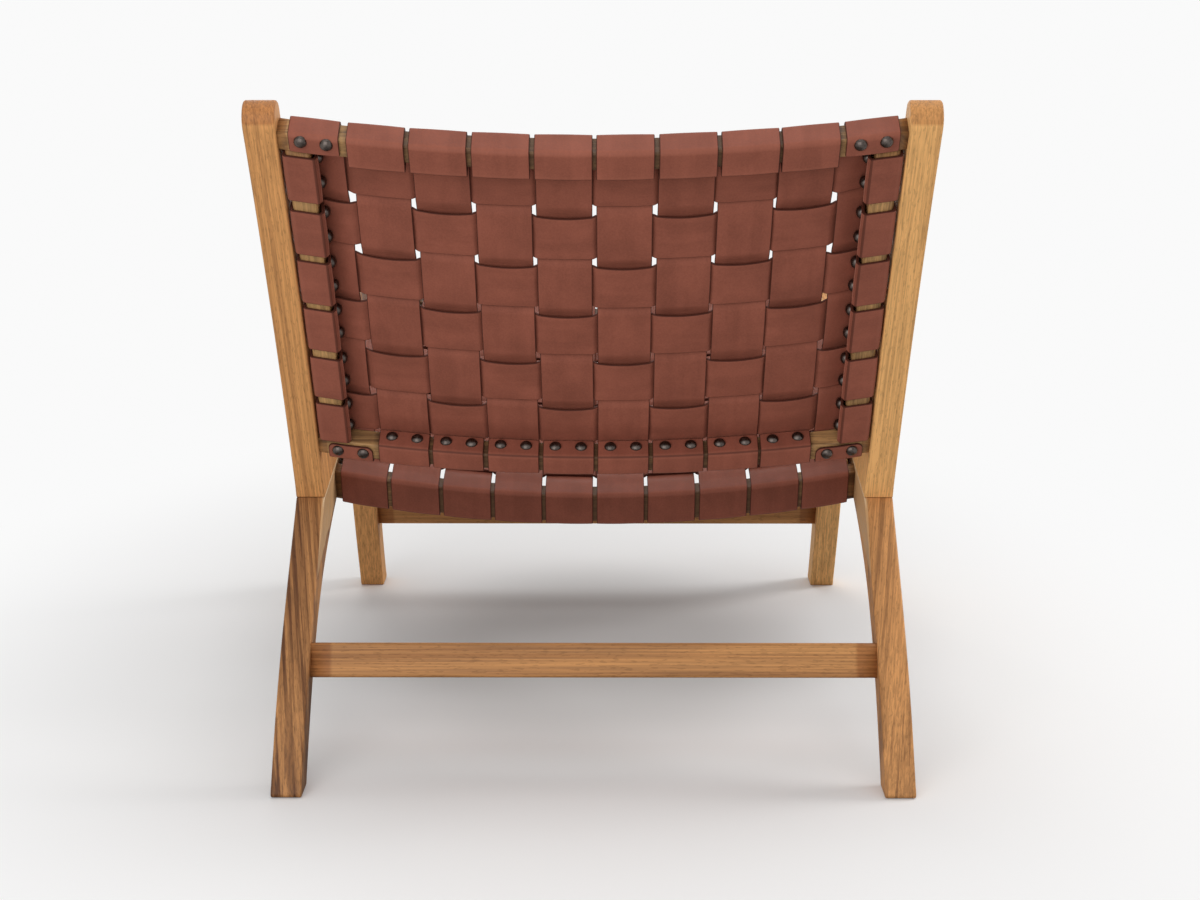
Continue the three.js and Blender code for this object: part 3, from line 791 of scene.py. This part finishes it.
def eased_rectangle(low_a, high_a, low_b, high_b, ease):
    """Points round a rectangle with rounded corners, and a point on each flat close to its corner."""
    corners = [(high_a, high_b, 0), (low_a, high_b, 90), (low_a, low_b, 180), (high_a, low_b, 270)]
    points = []
    for a, b, start in corners:
        middle = (a - math.copysign(ease, a - (low_a + high_a) / 2),
                  b - math.copysign(ease, b - (low_b + high_b) / 2))
        turns = np.radians(start + np.linspace(0.0, 90.0, 5))
        arc = np.stack([middle[0] + ease * np.cos(turns), middle[1] + ease * np.sin(turns)], axis=1)
        before = arc[0] - EASE_GUARD * np.array([-math.sin(turns[0]), math.cos(turns[0])])
        after = arc[-1] + EASE_GUARD * np.array([-math.sin(turns[-1]), math.cos(turns[-1])])
        points += [before, *arc, after]
    return np.array(points)


def bar(name, rings, material, along, across, depth, tone):
    points = np.concatenate(rings)
    piece = new_piece(name, points, ring_faces(len(rings), len(rings[0])), material)
    show_grain(piece, along, across, depth, wood_draw.uniform(0.3, 1.2), tone)
    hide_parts(name.removesuffix("_wood"))


X_AXIS, Y_AXIS, Z_AXIS = (1.0, 0.0, 0.0), (0.0, 1.0, 0.0), (0.0, 0.0, 1.0)
STRETCHER_RINGS = 25
RAIL_RINGS = 61
STILE_RINGS = 40
STRETCHER_TONE = 0.22
STILE_TONE = -0.12
# The back rails keep their own tone; the seat rails are darkened as painted shade for the shaded slots
# between the seat straps
RAIL_TONES_AND_SHADE = {"back": 0.05, "seat": 0.45}
# Painted shade added to a rail's tone between the straps
RAIL_GAP_PAINTED_SHADE = 0.60


def stretcher(name, along, across, turn):
    low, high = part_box(name)
    middle = ((low.y + high.y) / 2 - CHAIR_Y, (low.z + high.z) / 2)
    section = eased_rectangle(-across / 2, across / 2, -along / 2, along / 2, STRETCHER_EASE)
    y, z = along_slope(middle, turn, section[:, 0], section[:, 1])
    stations = np.linspace(-INNER_X, INNER_X, STRETCHER_RINGS)
    rings = [np.column_stack([np.full(len(section), x), y, z]) for x in stations]
    bar(f"{name}_wood", rings, ORANGE_TEAK, X_AXIS, Z_AXIS, Y_AXIS, STRETCHER_TONE)

def bowed_rail(panel, name, low):
    section = eased_rectangle(low, low + panel.rail_width, -panel.rail_depth, 0.0, RAIL_EASE)
    stations = np.linspace(-INNER_X, INNER_X, RAIL_RINGS)
    rings = [panel.point(x, section[:, 0], section[:, 1]) for x in stations]
    # Painted shade: between the straps the rail's wood is darkened where the straps shade it, but not in the
    # open corners
    in_strap_shade = (stations > panel.column_span(1)[0]) & (stations < panel.column_span(COLUMNS - 2)[1])
    tone = np.repeat(RAIL_TONES_AND_SHADE[panel.name] + RAIL_GAP_PAINTED_SHADE * in_strap_shade, len(section))
    bar(f"{name}_wood", rings, RAIL_TEAK, X_AXIS, Z_AXIS, Y_AXIS, tone)


def stile(panel, side_name):
    side = SIDES[side_name]
    section = eased_rectangle(STILE_INNER_X, STILE_OUTER_X, -panel.rail_depth, 0.0, STILE_EASE)
    stations = np.linspace(panel.open_low + SEAM_GAP, panel.open_high - SEAM_GAP, STILE_RINGS)
    rings = [panel.point(side * section[:, 0], s, section[:, 1]) for s in stations]
    low, high = (np.array(panel.line(s, 0.0)) for s in (panel.open_low, panel.open_high))
    rise = (high - low) / np.linalg.norm(high - low)
    along, depth = (0.0, rise[0], rise[1]), (0.0, rise[1], -rise[0])
    bar(f"{panel.name}_stile_{side_name}_wood", rings, RAIL_TEAK, along, X_AXIS, depth, STILE_TONE)


# Straps

STRAIGHT_TURN = 0.05
TIGHT_HALF = 0.02
BEND_STEPS = 9


def rounded_path(corners):
    """A line of (p, n) points through corners of (p, n, radius), each corner turned on its radius."""
    path = [np.array(corners[0][:2])]
    for before, (p, n, radius), after in zip(corners, corners[1:], corners[2:]):
        here = np.array([p, n])
        back = np.array(before[:2]) - here
        ahead = np.array(after[:2]) - here
        back /= np.linalg.norm(back)
        ahead /= np.linalg.norm(ahead)
        half = math.acos(np.clip(back @ ahead, -1.0, 1.0)) / 2
        if not radius or half > math.pi / 2 - STRAIGHT_TURN:
            path.append(here)
            continue
        reach = radius / math.tan(half)
        middle = here + (back + ahead) / np.linalg.norm(back + ahead) * radius / math.sin(half)
        first, last = here + back * reach - middle, here + ahead * reach - middle
        sweep = math.pi - 2 * half
        for share in np.linspace(0.0, 1.0, BEND_STEPS):
            spoke = first * math.sin((1 - share) * sweep) + last * math.sin(share * sweep)
            path.append(middle + spoke / math.sin(sweep) if half > TIGHT_HALF else here)
    path.append(np.array(corners[-1][:2]))
    return np.array(path)


STRAP_STEP = 0.004
END_STEPS = np.array([0.0003, 0.0009, 0.0018, 0.0031, 0.0048, 0.0065])
MARK_REACH = 0.0010
MARK_STEPS = MARK_REACH * np.array([-1.0, -0.6, -0.3, 0.3, 0.6, 1.0])


def places_along(path, corners):
    """How far along a line of points the places nearest to some corners are."""
    run = lengths(path)
    return [run[np.argmin(np.hypot(path[:, 0] - p, path[:, 1] - n))] for p, n, radius in corners]


def evenly_cut(path, marked):
    """The same line with extra points, so that no step is long, ends can be rounded and marks stay fine."""
    run = lengths(path)
    marks = [run, END_STEPS, run[-1] - END_STEPS]
    marks += [place + MARK_STEPS for place in places_along(path, marked)]
    for start, end in zip(run, run[1:]):
        marks.append(np.linspace(start, end, max(2, math.ceil((end - start) / STRAP_STEP) + 1)))
    marks = np.unique(np.concatenate(marks).round(6))
    return np.stack([np.interp(marks, run, path[:, axis]) for axis in range(2)], axis=1)


def rail_wrap(panel, way, in_corner, slack=STRAP_LIFT):
    """Corners of a long strap's end from its flap, round the rail and on to the panel's face."""
    inner, outer = (panel.open_high, panel.high) if way > 0 else (panel.open_low, panel.low)
    far = outer + way * STRAP_LIFT
    behind = -panel.rail_depth - STRAP_LIFT
    end = [(inner - way * STRAP_LIFT, -FLAP_END, 0.0), (inner - way * slack, behind, FLAP_FOLD)]
    if in_corner:
        end = [(inner + way * CORNER_FLAP_END, behind, 0.0)]
    return end + [(far, behind, RAIL_BEND), (far, STRAP_LIFT, RAIL_BEND)]


def stile_wrap(panel, side, level):
    """Corners of a cross strap's end from its flap, loosely round the stile and on to the panel's face."""
    far = side * (STILE_OUTER_X + STILE_OUTER_SLACK)
    near = side * (STILE_INNER_X - STILE_INNER_SLACK)
    flap = side * (STILE_INNER_X - STILE_FLAP_SLACK)
    behind = -panel.rail_depth - STRAP_LIFT
    flap_end = side * (STILE_INNER_X - STRAP_LIFT)
    return [
        (flap_end, -FLAP_END, 0.0),
        (flap, behind + STILE_FLAP_TURN, STILE_BEND),
        (near, behind, STILE_FOLD),
        (far, behind, STILE_BEND),
        (far, level, STILE_BEND),
    ]


PILLOW_STEPS = 13
DIP_STEP = 0.0012


def weave_line(crossings, start, end):
    """Middle line of a strap from start to end (p, n) through crossings of (first, last, level, bulge)."""
    stations = [start]
    for first, last, level, bulge in crossings:
        lead = math.copysign(WEAVE_LEAD, last - first)
        for share in np.linspace(0.0, 1.0, PILLOW_STEPS):
            p = first + lead + (last - first - 2 * lead) * share
            stations.append((p, level + bulge * 4 * share * (1 - share)))
    stations.append(end)
    line = [start]
    for (p, n), (q, m) in zip(stations, stations[1:]):
        steps = max(1, math.ceil(abs(q - p) / DIP_STEP)) if abs(m - n) > WEAVE_DIP else 1
        for share in np.linspace(0.0, 1.0, steps + 1)[1:]:
            line.append((p + (q - p) * share, n + (m - n) * share * share * (3 - 2 * share)))
    return [(p, n, 0.0) for p, n in line]


strap_draw = random.Random(7)


def strap_section(half_width):
    """Points round a strap's section as (across, height, cut edge), crowned a little on both faces."""
    flat = half_width - STRAP_EDGE
    half = STRAP_THICK / 2
    across = np.linspace(-flat, flat, 10)
    crown = STRAP_CROWN * (1 - (across / flat) ** 2)
    turns = np.radians([22.5, 45.0, 67.5, 90.0])
    edge = [(flat + STRAP_EDGE * math.sin(t), half - STRAP_EDGE * (1 - math.cos(t)), 1.0) for t in turns]
    upper = [(a, half + c, 0.0) for a, c in zip(across, crown)]
    lower = [(a, c - half, 0.0) for a, c in zip(across, crown)]
    right = edge + [(a, -h, e) for a, h, e in reversed(edge)]
    left = [(-a, h, e) for a, h, e in reversed(right)]
    return np.array(upper + right + lower[::-1] + left)


# Strength of the painted highlight on the flaps' turns
FLAP_HIGHLIGHT_SHARE = 0.6
SWAY = 0.0005


def near_corners(path, corners):
    """How close each point of a path is to any of some corners: 1 on one, 0 at a mark's reach from it."""
    run = lengths(path)
    close = np.zeros(len(path))
    for place in places_along(path, corners):
        close = np.maximum(close, np.clip(1.5 - 1.5 * np.abs(run - place) / MARK_REACH, 0.0, 1.0))
    return close


def strap(
    name, corners, span, place, end_corners, tone, painted_fold_shade, painted_highlight=(), lifted=(), ends=(0.0, 0.0)
):
    """One woven strap: a leather strip along a path of corners, its width over span, laid out by place.

    Painted shade darkens it along some corners of the path, its folds, and a painted highlight makes it pale
    along others. Over the lifted stretches of the weave its upper edge stands off and its lower edge is
    pressed in. ends is how far the strap spreads on each side, and how far it rises, where it goes round the
    stiles.
    """
    path = evenly_cut(rounded_path(corners), [*painted_fold_shade, *painted_highlight])
    run = lengths(path)
    tangent = np.gradient(path, run, axis=0)
    tangent /= np.linalg.norm(tangent, axis=1)[:, None]
    middle_way = math.copysign(1.0, path[-1, 0] - path[0, 0])
    outward = np.column_stack([-tangent[:, 1], tangent[:, 0]]) * middle_way
    turn = np.gradient(np.unwrap(np.arctan2(tangent[:, 1], tangent[:, 0])), run)
    bend = np.clip(np.abs(turn) * RAIL_BEND, 0.0, 1.0)
    width = span[1] - span[0]
    section = strap_section(width / 2)
    sway, phase = strap_draw.uniform(-SWAY, SWAY), strap_draw.uniform(0.0, 6.3)
    middle = (span[0] + span[1]) / 2 + sway * np.sin(phase + strap_draw.uniform(9.0, 16.0) * path[:, 0])
    at_stile = np.clip(1 + (np.abs(path[:, 0]) - STILE_INNER_X) / STILE_SPREAD_LENGTH, 0.0, 1.0)
    middle = middle + ends[1] * at_stile
    spot = strap_draw.uniform(0.0, 40.0)
    outer_face = section[:, 1] > 0
    lift = np.zeros(len(path))
    for first, last in lifted:
        share = np.clip((path[:, 0] - first) / (last - first), 0.0, 1.0)
        lift += np.where(path[:, 1] > 0, CROSS_EDGE_LIFT * 4 * share * (1 - share), 0.0)
    radii = np.array(end_corners)[:, None]
    past = np.maximum(radii - np.stack([run, run[-1] - run]), 0.0)
    narrow = np.max(radii - np.sqrt(radii ** 2 - past ** 2), axis=0)
    across = np.outer(1 + 2 * (ends[0] * at_stile - narrow) / width, section[:, 0])
    p, n = (path[:, [axis]] + np.outer(outward[:, axis], section[:, 1]) for axis in range(2))
    points = place(middle[:, None] + across, p, n - lift[:, None] * 2 * across / width)
    strip = np.stack(np.broadcast_arrays(run[:, None], across, section[:, 1] + spot), axis=-1)
    cut = np.tile(section[:, 2], (len(path), 1))
    cut[[0, -1]] = 1.0
    faces = ring_faces(len(path), len(section))
    piece = new_piece(f"{name}_leather", points.reshape(-1, 3), faces, LEATHER)
    store(piece, "strap", strip.reshape(-1, 3))
    store(piece, "cut_edge", cut.ravel())
    # Where the strap bends it is paler: partly pull-up, partly a painted highlight
    store(piece, "bend", np.outer(bend, outer_face).ravel())
    # Painted shade along the folds
    store(piece, "painted_fold_shade", np.outer(near_corners(path, painted_fold_shade), outer_face).ravel())
    # Painted highlight along the flaps' turns
    store(piece, "painted_highlight", FLAP_HIGHLIGHT_SHARE * np.outer(near_corners(path, painted_highlight), outer_face).ravel())
    store(piece, "tone", np.full(len(piece.data.vertices), tone * strap_draw.uniform(0.95, 1.05)))
    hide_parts(name)


def long_level(row, column):
    return WEAVE_LEVEL + (WEAVE_SWING if (row + column) % 2 else -WEAVE_SWING)


def long_strap(panel, column):
    """A strap from the high rail to the low one, through all the cross straps."""
    in_corner = column in (0, COLUMNS - 1)
    high_end = rail_wrap(panel, 1, in_corner, TOP_FLAP_SLACK if panel is BACK else STRAP_LIFT)
    low_end = rail_wrap(panel, -1, in_corner)
    crossings = []
    for row in range(panel.rows):
        low, high = panel.row_span(row)
        level = long_level(row, column)
        crossings.append((high, low, level, math.copysign(WEAVE_PILLOW, level - WEAVE_LEVEL)))
    weave = weave_line(crossings, (panel.open_high + RAIL_EASE, STRAP_LIFT),
                       (panel.open_low - RAIL_EASE, STRAP_LIFT))
    corner = TAB_CORNER if in_corner else FLAP_CORNER
    strap(
        f"{panel.name}_strap_long_{column + 1}",
        high_end + weave + low_end[::-1],
        panel.column_span(column),
        panel.point,
        (FLAP_CORNER, corner),
        panel.leather_tone,
        # Painted shade along the flaps' folds
        [end[1] for end in (high_end, low_end) if not in_corner],
    )


def cross_strap(panel, row):
    """A strap from the left stile to the right one, over and under the long straps."""
    levels = [2 * WEAVE_LEVEL - long_level(row, column) for column in range(COLUMNS)]
    left = stile_wrap(panel, -1, levels[0])
    right = stile_wrap(panel, 1, levels[-1])
    crossings, lifted = [], []
    for column, level in enumerate(levels):
        span = panel.column_span(column)
        behind = level < WEAVE_LEVEL
        crossings.append((*span, level, -CROSS_PILLOW if behind else WEAVE_PILLOW))
        if behind:
            lifted.append(span)
    edge = STILE_OUTER_X - RAIL_EASE
    weave = weave_line(crossings, (-edge, levels[0]), (edge, levels[-1]))
    weave = [spot for spot in weave if abs(spot[0]) <= edge]
    strap(
        f"{panel.name}_strap_cross_{row + 1}",
        left + weave + right[::-1],
        panel.row_span(row),
        lambda across, p, n: panel.point(p, across, n),
        (FLAP_CORNER, FLAP_CORNER),
        panel.leather_tone,
        # Painted shade along the folds at the stiles' inner edges
        [left[2], right[2]],
        # The flaps' turns get a painted highlight
        [left[1], right[1]],
        lifted,
        panel.row_ends[row],
    )


# Nail heads

RAIL_FLAP_SHARE = 0.45
STILE_FLAP_SHARE = 0.30
STILE_FLAP_LEAN = 0.2
STILE_FLAP_REST = 0.42


def nail_spots(panel):
    """Rows of (point, axis) where the panel's straps are nailed, two nails at each end of a strap."""
    face = STRAP_LIFT + STRAP_THICK / 2
    along_rail_flap = -RAIL_FLAP_SHARE * panel.rail_depth
    along_stile_flap = -STILE_FLAP_SHARE * panel.rail_depth
    stile_face = face + STILE_FLAP_REST * (STILE_FLAP_SLACK - STRAP_LIFT)
    behind = -panel.rail_depth - face
    reach = 0.001
    spots = []

    def nail(x, s, n, dx, ds, dn):
        point = panel.point(x, s, n)
        ahead = panel.point(x + dx * reach, s + ds * reach, n + dn * reach)
        spots.append((point, (ahead - point) / np.linalg.norm(ahead - point)))

    for column in range(COLUMNS):
        first, last = panel.column_span(column)
        for hand in (-1, 1):
            for inner, outer, way in ((panel.open_high, panel.high, 1), (panel.open_low, panel.low, -1)):
                top_corner = panel is BACK and way > 0
                spacing = TOP_CORNER_NAIL_SPACING if top_corner else RAIL_NAIL_SPACING
                x = (first + last) / 2 + hand * spacing / 2
                if column in (0, COLUMNS - 1):
                    rise = TOP_CORNER_NAIL_RISE if top_corner else 0.0
                    nail(x, (inner + outer) / 2 + rise, behind, 0, 0, -1)
                else:
                    nail(x, inner - way * face, along_rail_flap, 0, -way, 0)
    for row in range(panel.rows):
        low, high = panel.row_span(row)
        for hand in (-1, 1):
            s = (low + high) / 2 + panel.row_ends[row][1] + hand * STILE_NAIL_SPACING / 2
            for side in SIDES.values():
                nail(side * (STILE_INNER_X - stile_face), s, along_stile_flap, -side, 0, STILE_FLAP_LEAN)
    return spots


NAIL_INPUTS = (
    ("Spots", "Geometry", None),
    ("Diameter", "Float", 0.01),
    ("Height", "Float", 0.004),
    ("Tilt", "Float", 0.05),
    ("Seed", "Int", 1),
    ("Material", "Material", None),
)
NAIL_FLAT = -0.06
NAIL_SETTINGS = {
    "Diameter": NAIL_DIAMETER,
    "Height": NAIL_HEIGHT,
    "Tilt": 0.06,
    "Seed": 11,
    "Material": BRONZE,
}


def nail_tree():
    """Geometry Nodes: a domed head at every point, standing along the point's axis."""
    tree = bpy.data.node_groups.new("nail_heads", "GeometryNodeTree")
    tree.interface.new_socket("Geometry", in_out="OUTPUT", socket_type="NodeSocketGeometry")
    for name, kind, default in NAIL_INPUTS:
        socket = tree.interface.new_socket(name, in_out="INPUT", socket_type=f"NodeSocket{kind}")
        if default is not None:
            socket.default_value = default
    given, made = tree.nodes.new("NodeGroupInput").outputs, tree.nodes.new("NodeGroupOutput")
    ball = place_node(tree, "GeometryNodeMeshUVSphere", [("Segments", 14), ("Rings", 9), ("Radius", 1.0)])
    # The lower half of the ball is pressed almost flat, so the head is a closed dome
    where = place_node(tree, "GeometryNodeInputPosition").outputs[0]
    x, y, z = place_node(tree, "ShaderNodeSeparateXYZ", [(0, where)]).outputs
    radius = calculate(tree, "MULTIPLY", given["Diameter"], 0.5)
    dome = place_node(tree, "ShaderNodeCombineXYZ", [
        (0, calculate(tree, "MULTIPLY", x, radius)),
        (1, calculate(tree, "MULTIPLY", y, radius)),
        (2, calculate(tree, "MULTIPLY", calculate(tree, "MAXIMUM", z, NAIL_FLAT), given["Height"])),
    ]).outputs[0]
    inputs = [("Geometry", ball.outputs["Mesh"]), ("Position", dome)]
    head = place_node(tree, "GeometryNodeSetPosition", inputs)
    axis = place_node(tree, "GeometryNodeInputNamedAttribute", [("Name", "axis")], data_type="FLOAT_VECTOR")
    turn = place_node(tree, "FunctionNodeAlignRotationToVector", [("Vector", axis.outputs[0])], axis="Z")
    least, most = (
        place_node(tree, "ShaderNodeVectorMath", [(0, (way,) * 3), (3, given["Tilt"])], operation="SCALE")
        for way in (-1.0, 1.0)
    )
    inputs = [(0, least.outputs[0]), (1, most.outputs[0]), ("Seed", given["Seed"])]
    lean = place_node(tree, "FunctionNodeRandomValue", inputs, data_type="FLOAT_VECTOR").outputs[0]
    inputs = [(0, turn.outputs[0]), (1, lean)]
    leaned = place_node(tree, "FunctionNodeRotateRotation", inputs, rotation_space="LOCAL").outputs[0]
    inputs = [("Points", given["Spots"]), ("Instance", head.outputs[0]), ("Rotation", leaned)]
    shape = place_node(tree, "GeometryNodeInstanceOnPoints", inputs).outputs[0]
    for kind in ("GeometryNodeSetShadeSmooth", "GeometryNodeRealizeInstances"):
        shape = place_node(tree, kind, [("Geometry", shape)]).outputs[0]
    inputs = [("Geometry", shape), ("Material", given["Material"])]
    fill(tree, made, [(0, place_node(tree, "GeometryNodeSetMaterial", inputs).outputs[0])])
    return tree


def nails(panel, tree):
    spots = nail_spots(panel)
    seeds = bpy.data.meshes.new(f"{panel.name}_nail_spots")
    seeds.from_pydata([point + np.array([0.0, CHAIR_Y, 0.0]) for point, axis in spots], [], [])
    holder = add_object(f"{panel.name}_nail_heads", seeds)
    store(holder, "axis", np.array([axis for point, axis in spots]))
    modifier = holder.modifiers.new("nail_heads", "NODES")
    modifier.node_group = tree
    sockets = {item.name: item.identifier for item in tree.interface.items_tree if item.in_out == "INPUT"}
    for name, value in NAIL_SETTINGS.items():
        modifier[sockets[name]] = value
    depsgraph = bpy.context.evaluated_depsgraph_get()
    mesh = bpy.data.meshes.new_from_object(holder.evaluated_get(depsgraph))
    holder.modifiers.remove(modifier)
    holder.data = mesh
    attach(holder, BODY)


# The chair

LEG_GRAIN = np.radians([38, 9, 80])
POST_GRAIN = np.radians([120, 0, 80])
FRONT_LEG_GRAIN = np.radians([108, 0, 80])
LEG_TONES = {"left": (0.20, 0.30), "right": (-0.28, -0.46)}
POST_TEAKS = {"left": ORANGE_TEAK, "right": GOLDEN_TEAK}
POST_TONES = {"left": (-0.14, -0.14), "right": (-0.56, -0.56)}
FRONT_TONES = {"left": (-0.38, -0.38), "right": (-0.46, -0.46)}

for side_name, side in SIDES.items():
    leg, post, front = (f"{part}_{side_name}" for part in ("side_frame", "back_post", "front_leg"))
    teak = POST_TEAKS[side_name]
    hidden = [f"post_tenon_{side_name}", f"front_leg_tenon_{side_name}"]
    plank(
        f"{leg}_wood", side_frame_outline(), side, LEG_TEAK, LEG_GRAIN, LEG_TONES[side_name],
        [leg, *hidden], marked=True,
    )
    plank(f"{post}_wood", post_outline(), side, teak, POST_GRAIN, POST_TONES[side_name], [post])
    plank(f"{front}_wood", front_leg_outline(), side, teak, FRONT_LEG_GRAIN, FRONT_TONES[side_name], [front])
for name, (along, across, turn) in STRETCHERS.items():
    stretcher(name, along, across, turn)

RAILS = {BACK: ("back_top_rail", "back_bottom_rail"), SEAT: ("seat_front_rail", "seat_rear_rail")}
heads = nail_tree()
for panel, (high_rail, low_rail) in RAILS.items():
    bowed_rail(panel, high_rail, panel.open_high)
    bowed_rail(panel, low_rail, panel.low)
    for side_name in SIDES:
        stile(panel, side_name)
    for column in range(COLUMNS):
        long_strap(panel, column)
    for row in range(panel.rows):
        cross_strap(panel, row)
    nails(panel, heads)


# Floor, light and camera

FLOOR_SIZE = 60.0
BACKDROP_WHITE = (0.955, 0.955, 0.955, 1.0)
# Painted shadow: the paper's colour in the middle of the oval under the chair
PAPER_PAINTED_SHADOW = (0.70, 0.69, 0.68, 1.0)
PAPER_OPEN = (0.92, 0.915, 0.91, 1.0)
PAPER_BOUNCE = (0.42, 0.41, 0.40, 1.0)
OVAL_SHIFT = (0.0, -0.1, 0.0)
OVAL_STRETCH = (1.45, 1.0, 1.0)
AMBIENT = 0.46


def seen_rays(tree):
    """Masks of the camera's own rays, and of those and the rays seen in gloss or through a clear body."""
    light = place_node(tree, "ShaderNodeLightPath").outputs
    seen = calculate(tree, "MAXIMUM", light["Is Camera Ray"], light["Is Glossy Ray"])
    return light["Is Camera Ray"], calculate(tree, "MAXIMUM", seen, light["Is Transmission Ray"])


def show_blend(tree, output, share, near, far):
    blend = place_node(tree, "ShaderNodeMixShader", [(0, share), (1, near.outputs[0]), (2, far.outputs[0])])
    fill(tree, tree.nodes[output], [("Surface", blend.outputs[0])])


def paper_material():
    """White studio paper that keeps the lamps' shadow, darkened further by a painted shadow under the chair,
    and fades to the backdrop's white far off.
    """
    material, tree, shader = blank_material("studio_paper")
    place = place_node(tree, "ShaderNodeTexCoord").outputs["Object"]
    # Measured in an oval under the seat, where the painted shadow is darkest in the middle
    inputs = [("Vector", place), ("Location", OVAL_SHIFT), ("Scale", OVAL_STRETCH)]
    oval = place_node(tree, "ShaderNodeMapping", inputs).outputs[0]
    away = place_node(tree, "ShaderNodeVectorMath", [(0, oval)], operation="LENGTH").outputs["Value"]
    camera, seen = seen_rays(tree)
    # Painted shadow: darker paper near the middle of the oval
    paper = mixed_colour(tree, ranged(tree, away, 0.20, 0.45), PAPER_PAINTED_SHADOW, PAPER_OPEN)
    paper = mixed_colour(tree, camera, PAPER_BOUNCE, paper)
    fill(tree, shader, [("Base Color", paper), ("Roughness", 0.9), ("Specular IOR Level", 0.0)])
    far = calculate(tree, "MULTIPLY", seen, ranged(tree, away, 0.45, 1.45))
    glow = place_node(tree, "ShaderNodeEmission", [("Color", BACKDROP_WHITE), ("Strength", 1.0)])
    show_blend(tree, "Material Output", far, shader, glow)
    return material


def studio_floor():
    half = FLOOR_SIZE / 2
    corners = [(-half, -half, 0.0), (half, -half, 0.0), (half, half, 0.0), (-half, half, 0.0)]
    mesh = bpy.data.meshes.new("studio_floor")
    mesh.from_pydata(corners, [], [(0, 1, 2, 3)])
    mesh.materials.append(paper_material())
    add_object("studio_floor", mesh)


def studio_world():
    world = bpy.data.worlds.new("studio_white")
    bpy.context.scene.world = world
    world.use_nodes = True
    tree = world.node_tree
    ambient = tree.nodes["Background"]
    fill(tree, ambient, [("Strength", AMBIENT), ("Color", (1.0, 1.0, 1.0, 1.0))])
    white = place_node(tree, "ShaderNodeBackground", [("Color", BACKDROP_WHITE), ("Strength", 1.0)])
    show_blend(tree, "World Output", seen_rays(tree)[1], ambient, white)


# Place, what it is aimed at, size and power
SOFTBOXES = {
    "overhead_softbox": ((0.2, 0.1, 3.4), (0.0, 0.1, 0.3), 2.2, 22.0),
    "rear_softbox": ((-0.5, -1.9, 0.80), (0.0, -0.3, 0.5), 1.7, 16.5),
    "right_softbox": ((2.6, 0.7, 1.4), (0.0, 0.0, 0.5), 1.0, 34.0),
    "front_softbox": ((-0.8, 3.2, 1.8), (0.0, 0.0, 0.4), 1.8, 16.0),
}


def softbox(name, place, aim, size, power):
    lamp = bpy.data.lights.new(name, "AREA")
    lamp.shape = "SQUARE"
    lamp.size = size
    lamp.energy = power
    holder = add_object(name, lamp)
    holder.location = place
    holder.visible_camera = False
    x, y, z = np.array(aim) - np.array(place)
    holder.rotation_euler = (math.atan2(math.hypot(x, y), -z), 0.0, math.atan2(x, -y) + math.pi)


CAMERA_PLACE = (0.0135, -2.281, 0.779)
CAMERA_PITCH = math.radians(12.46)
CAMERA_YAW = 0.0035
CAMERA_LENS = 60.24
SENSOR_WIDTH = 36.0


def studio_camera():
    data = bpy.data.cameras.new("photo_camera")
    data.sensor_fit = "HORIZONTAL"
    data.sensor_width = SENSOR_WIDTH
    data.lens = CAMERA_LENS
    camera = add_object("photo_camera", data)
    camera.location = CAMERA_PLACE
    camera.rotation_euler = (math.pi / 2 - CAMERA_PITCH, 0.0, CAMERA_YAW)
    bpy.context.scene.camera = camera


studio_floor()
studio_world()
for name, setting in SOFTBOXES.items():
    softbox(name, *setting)
studio_camera()
bpy.context.scene.view_settings.view_transform = "Standard"
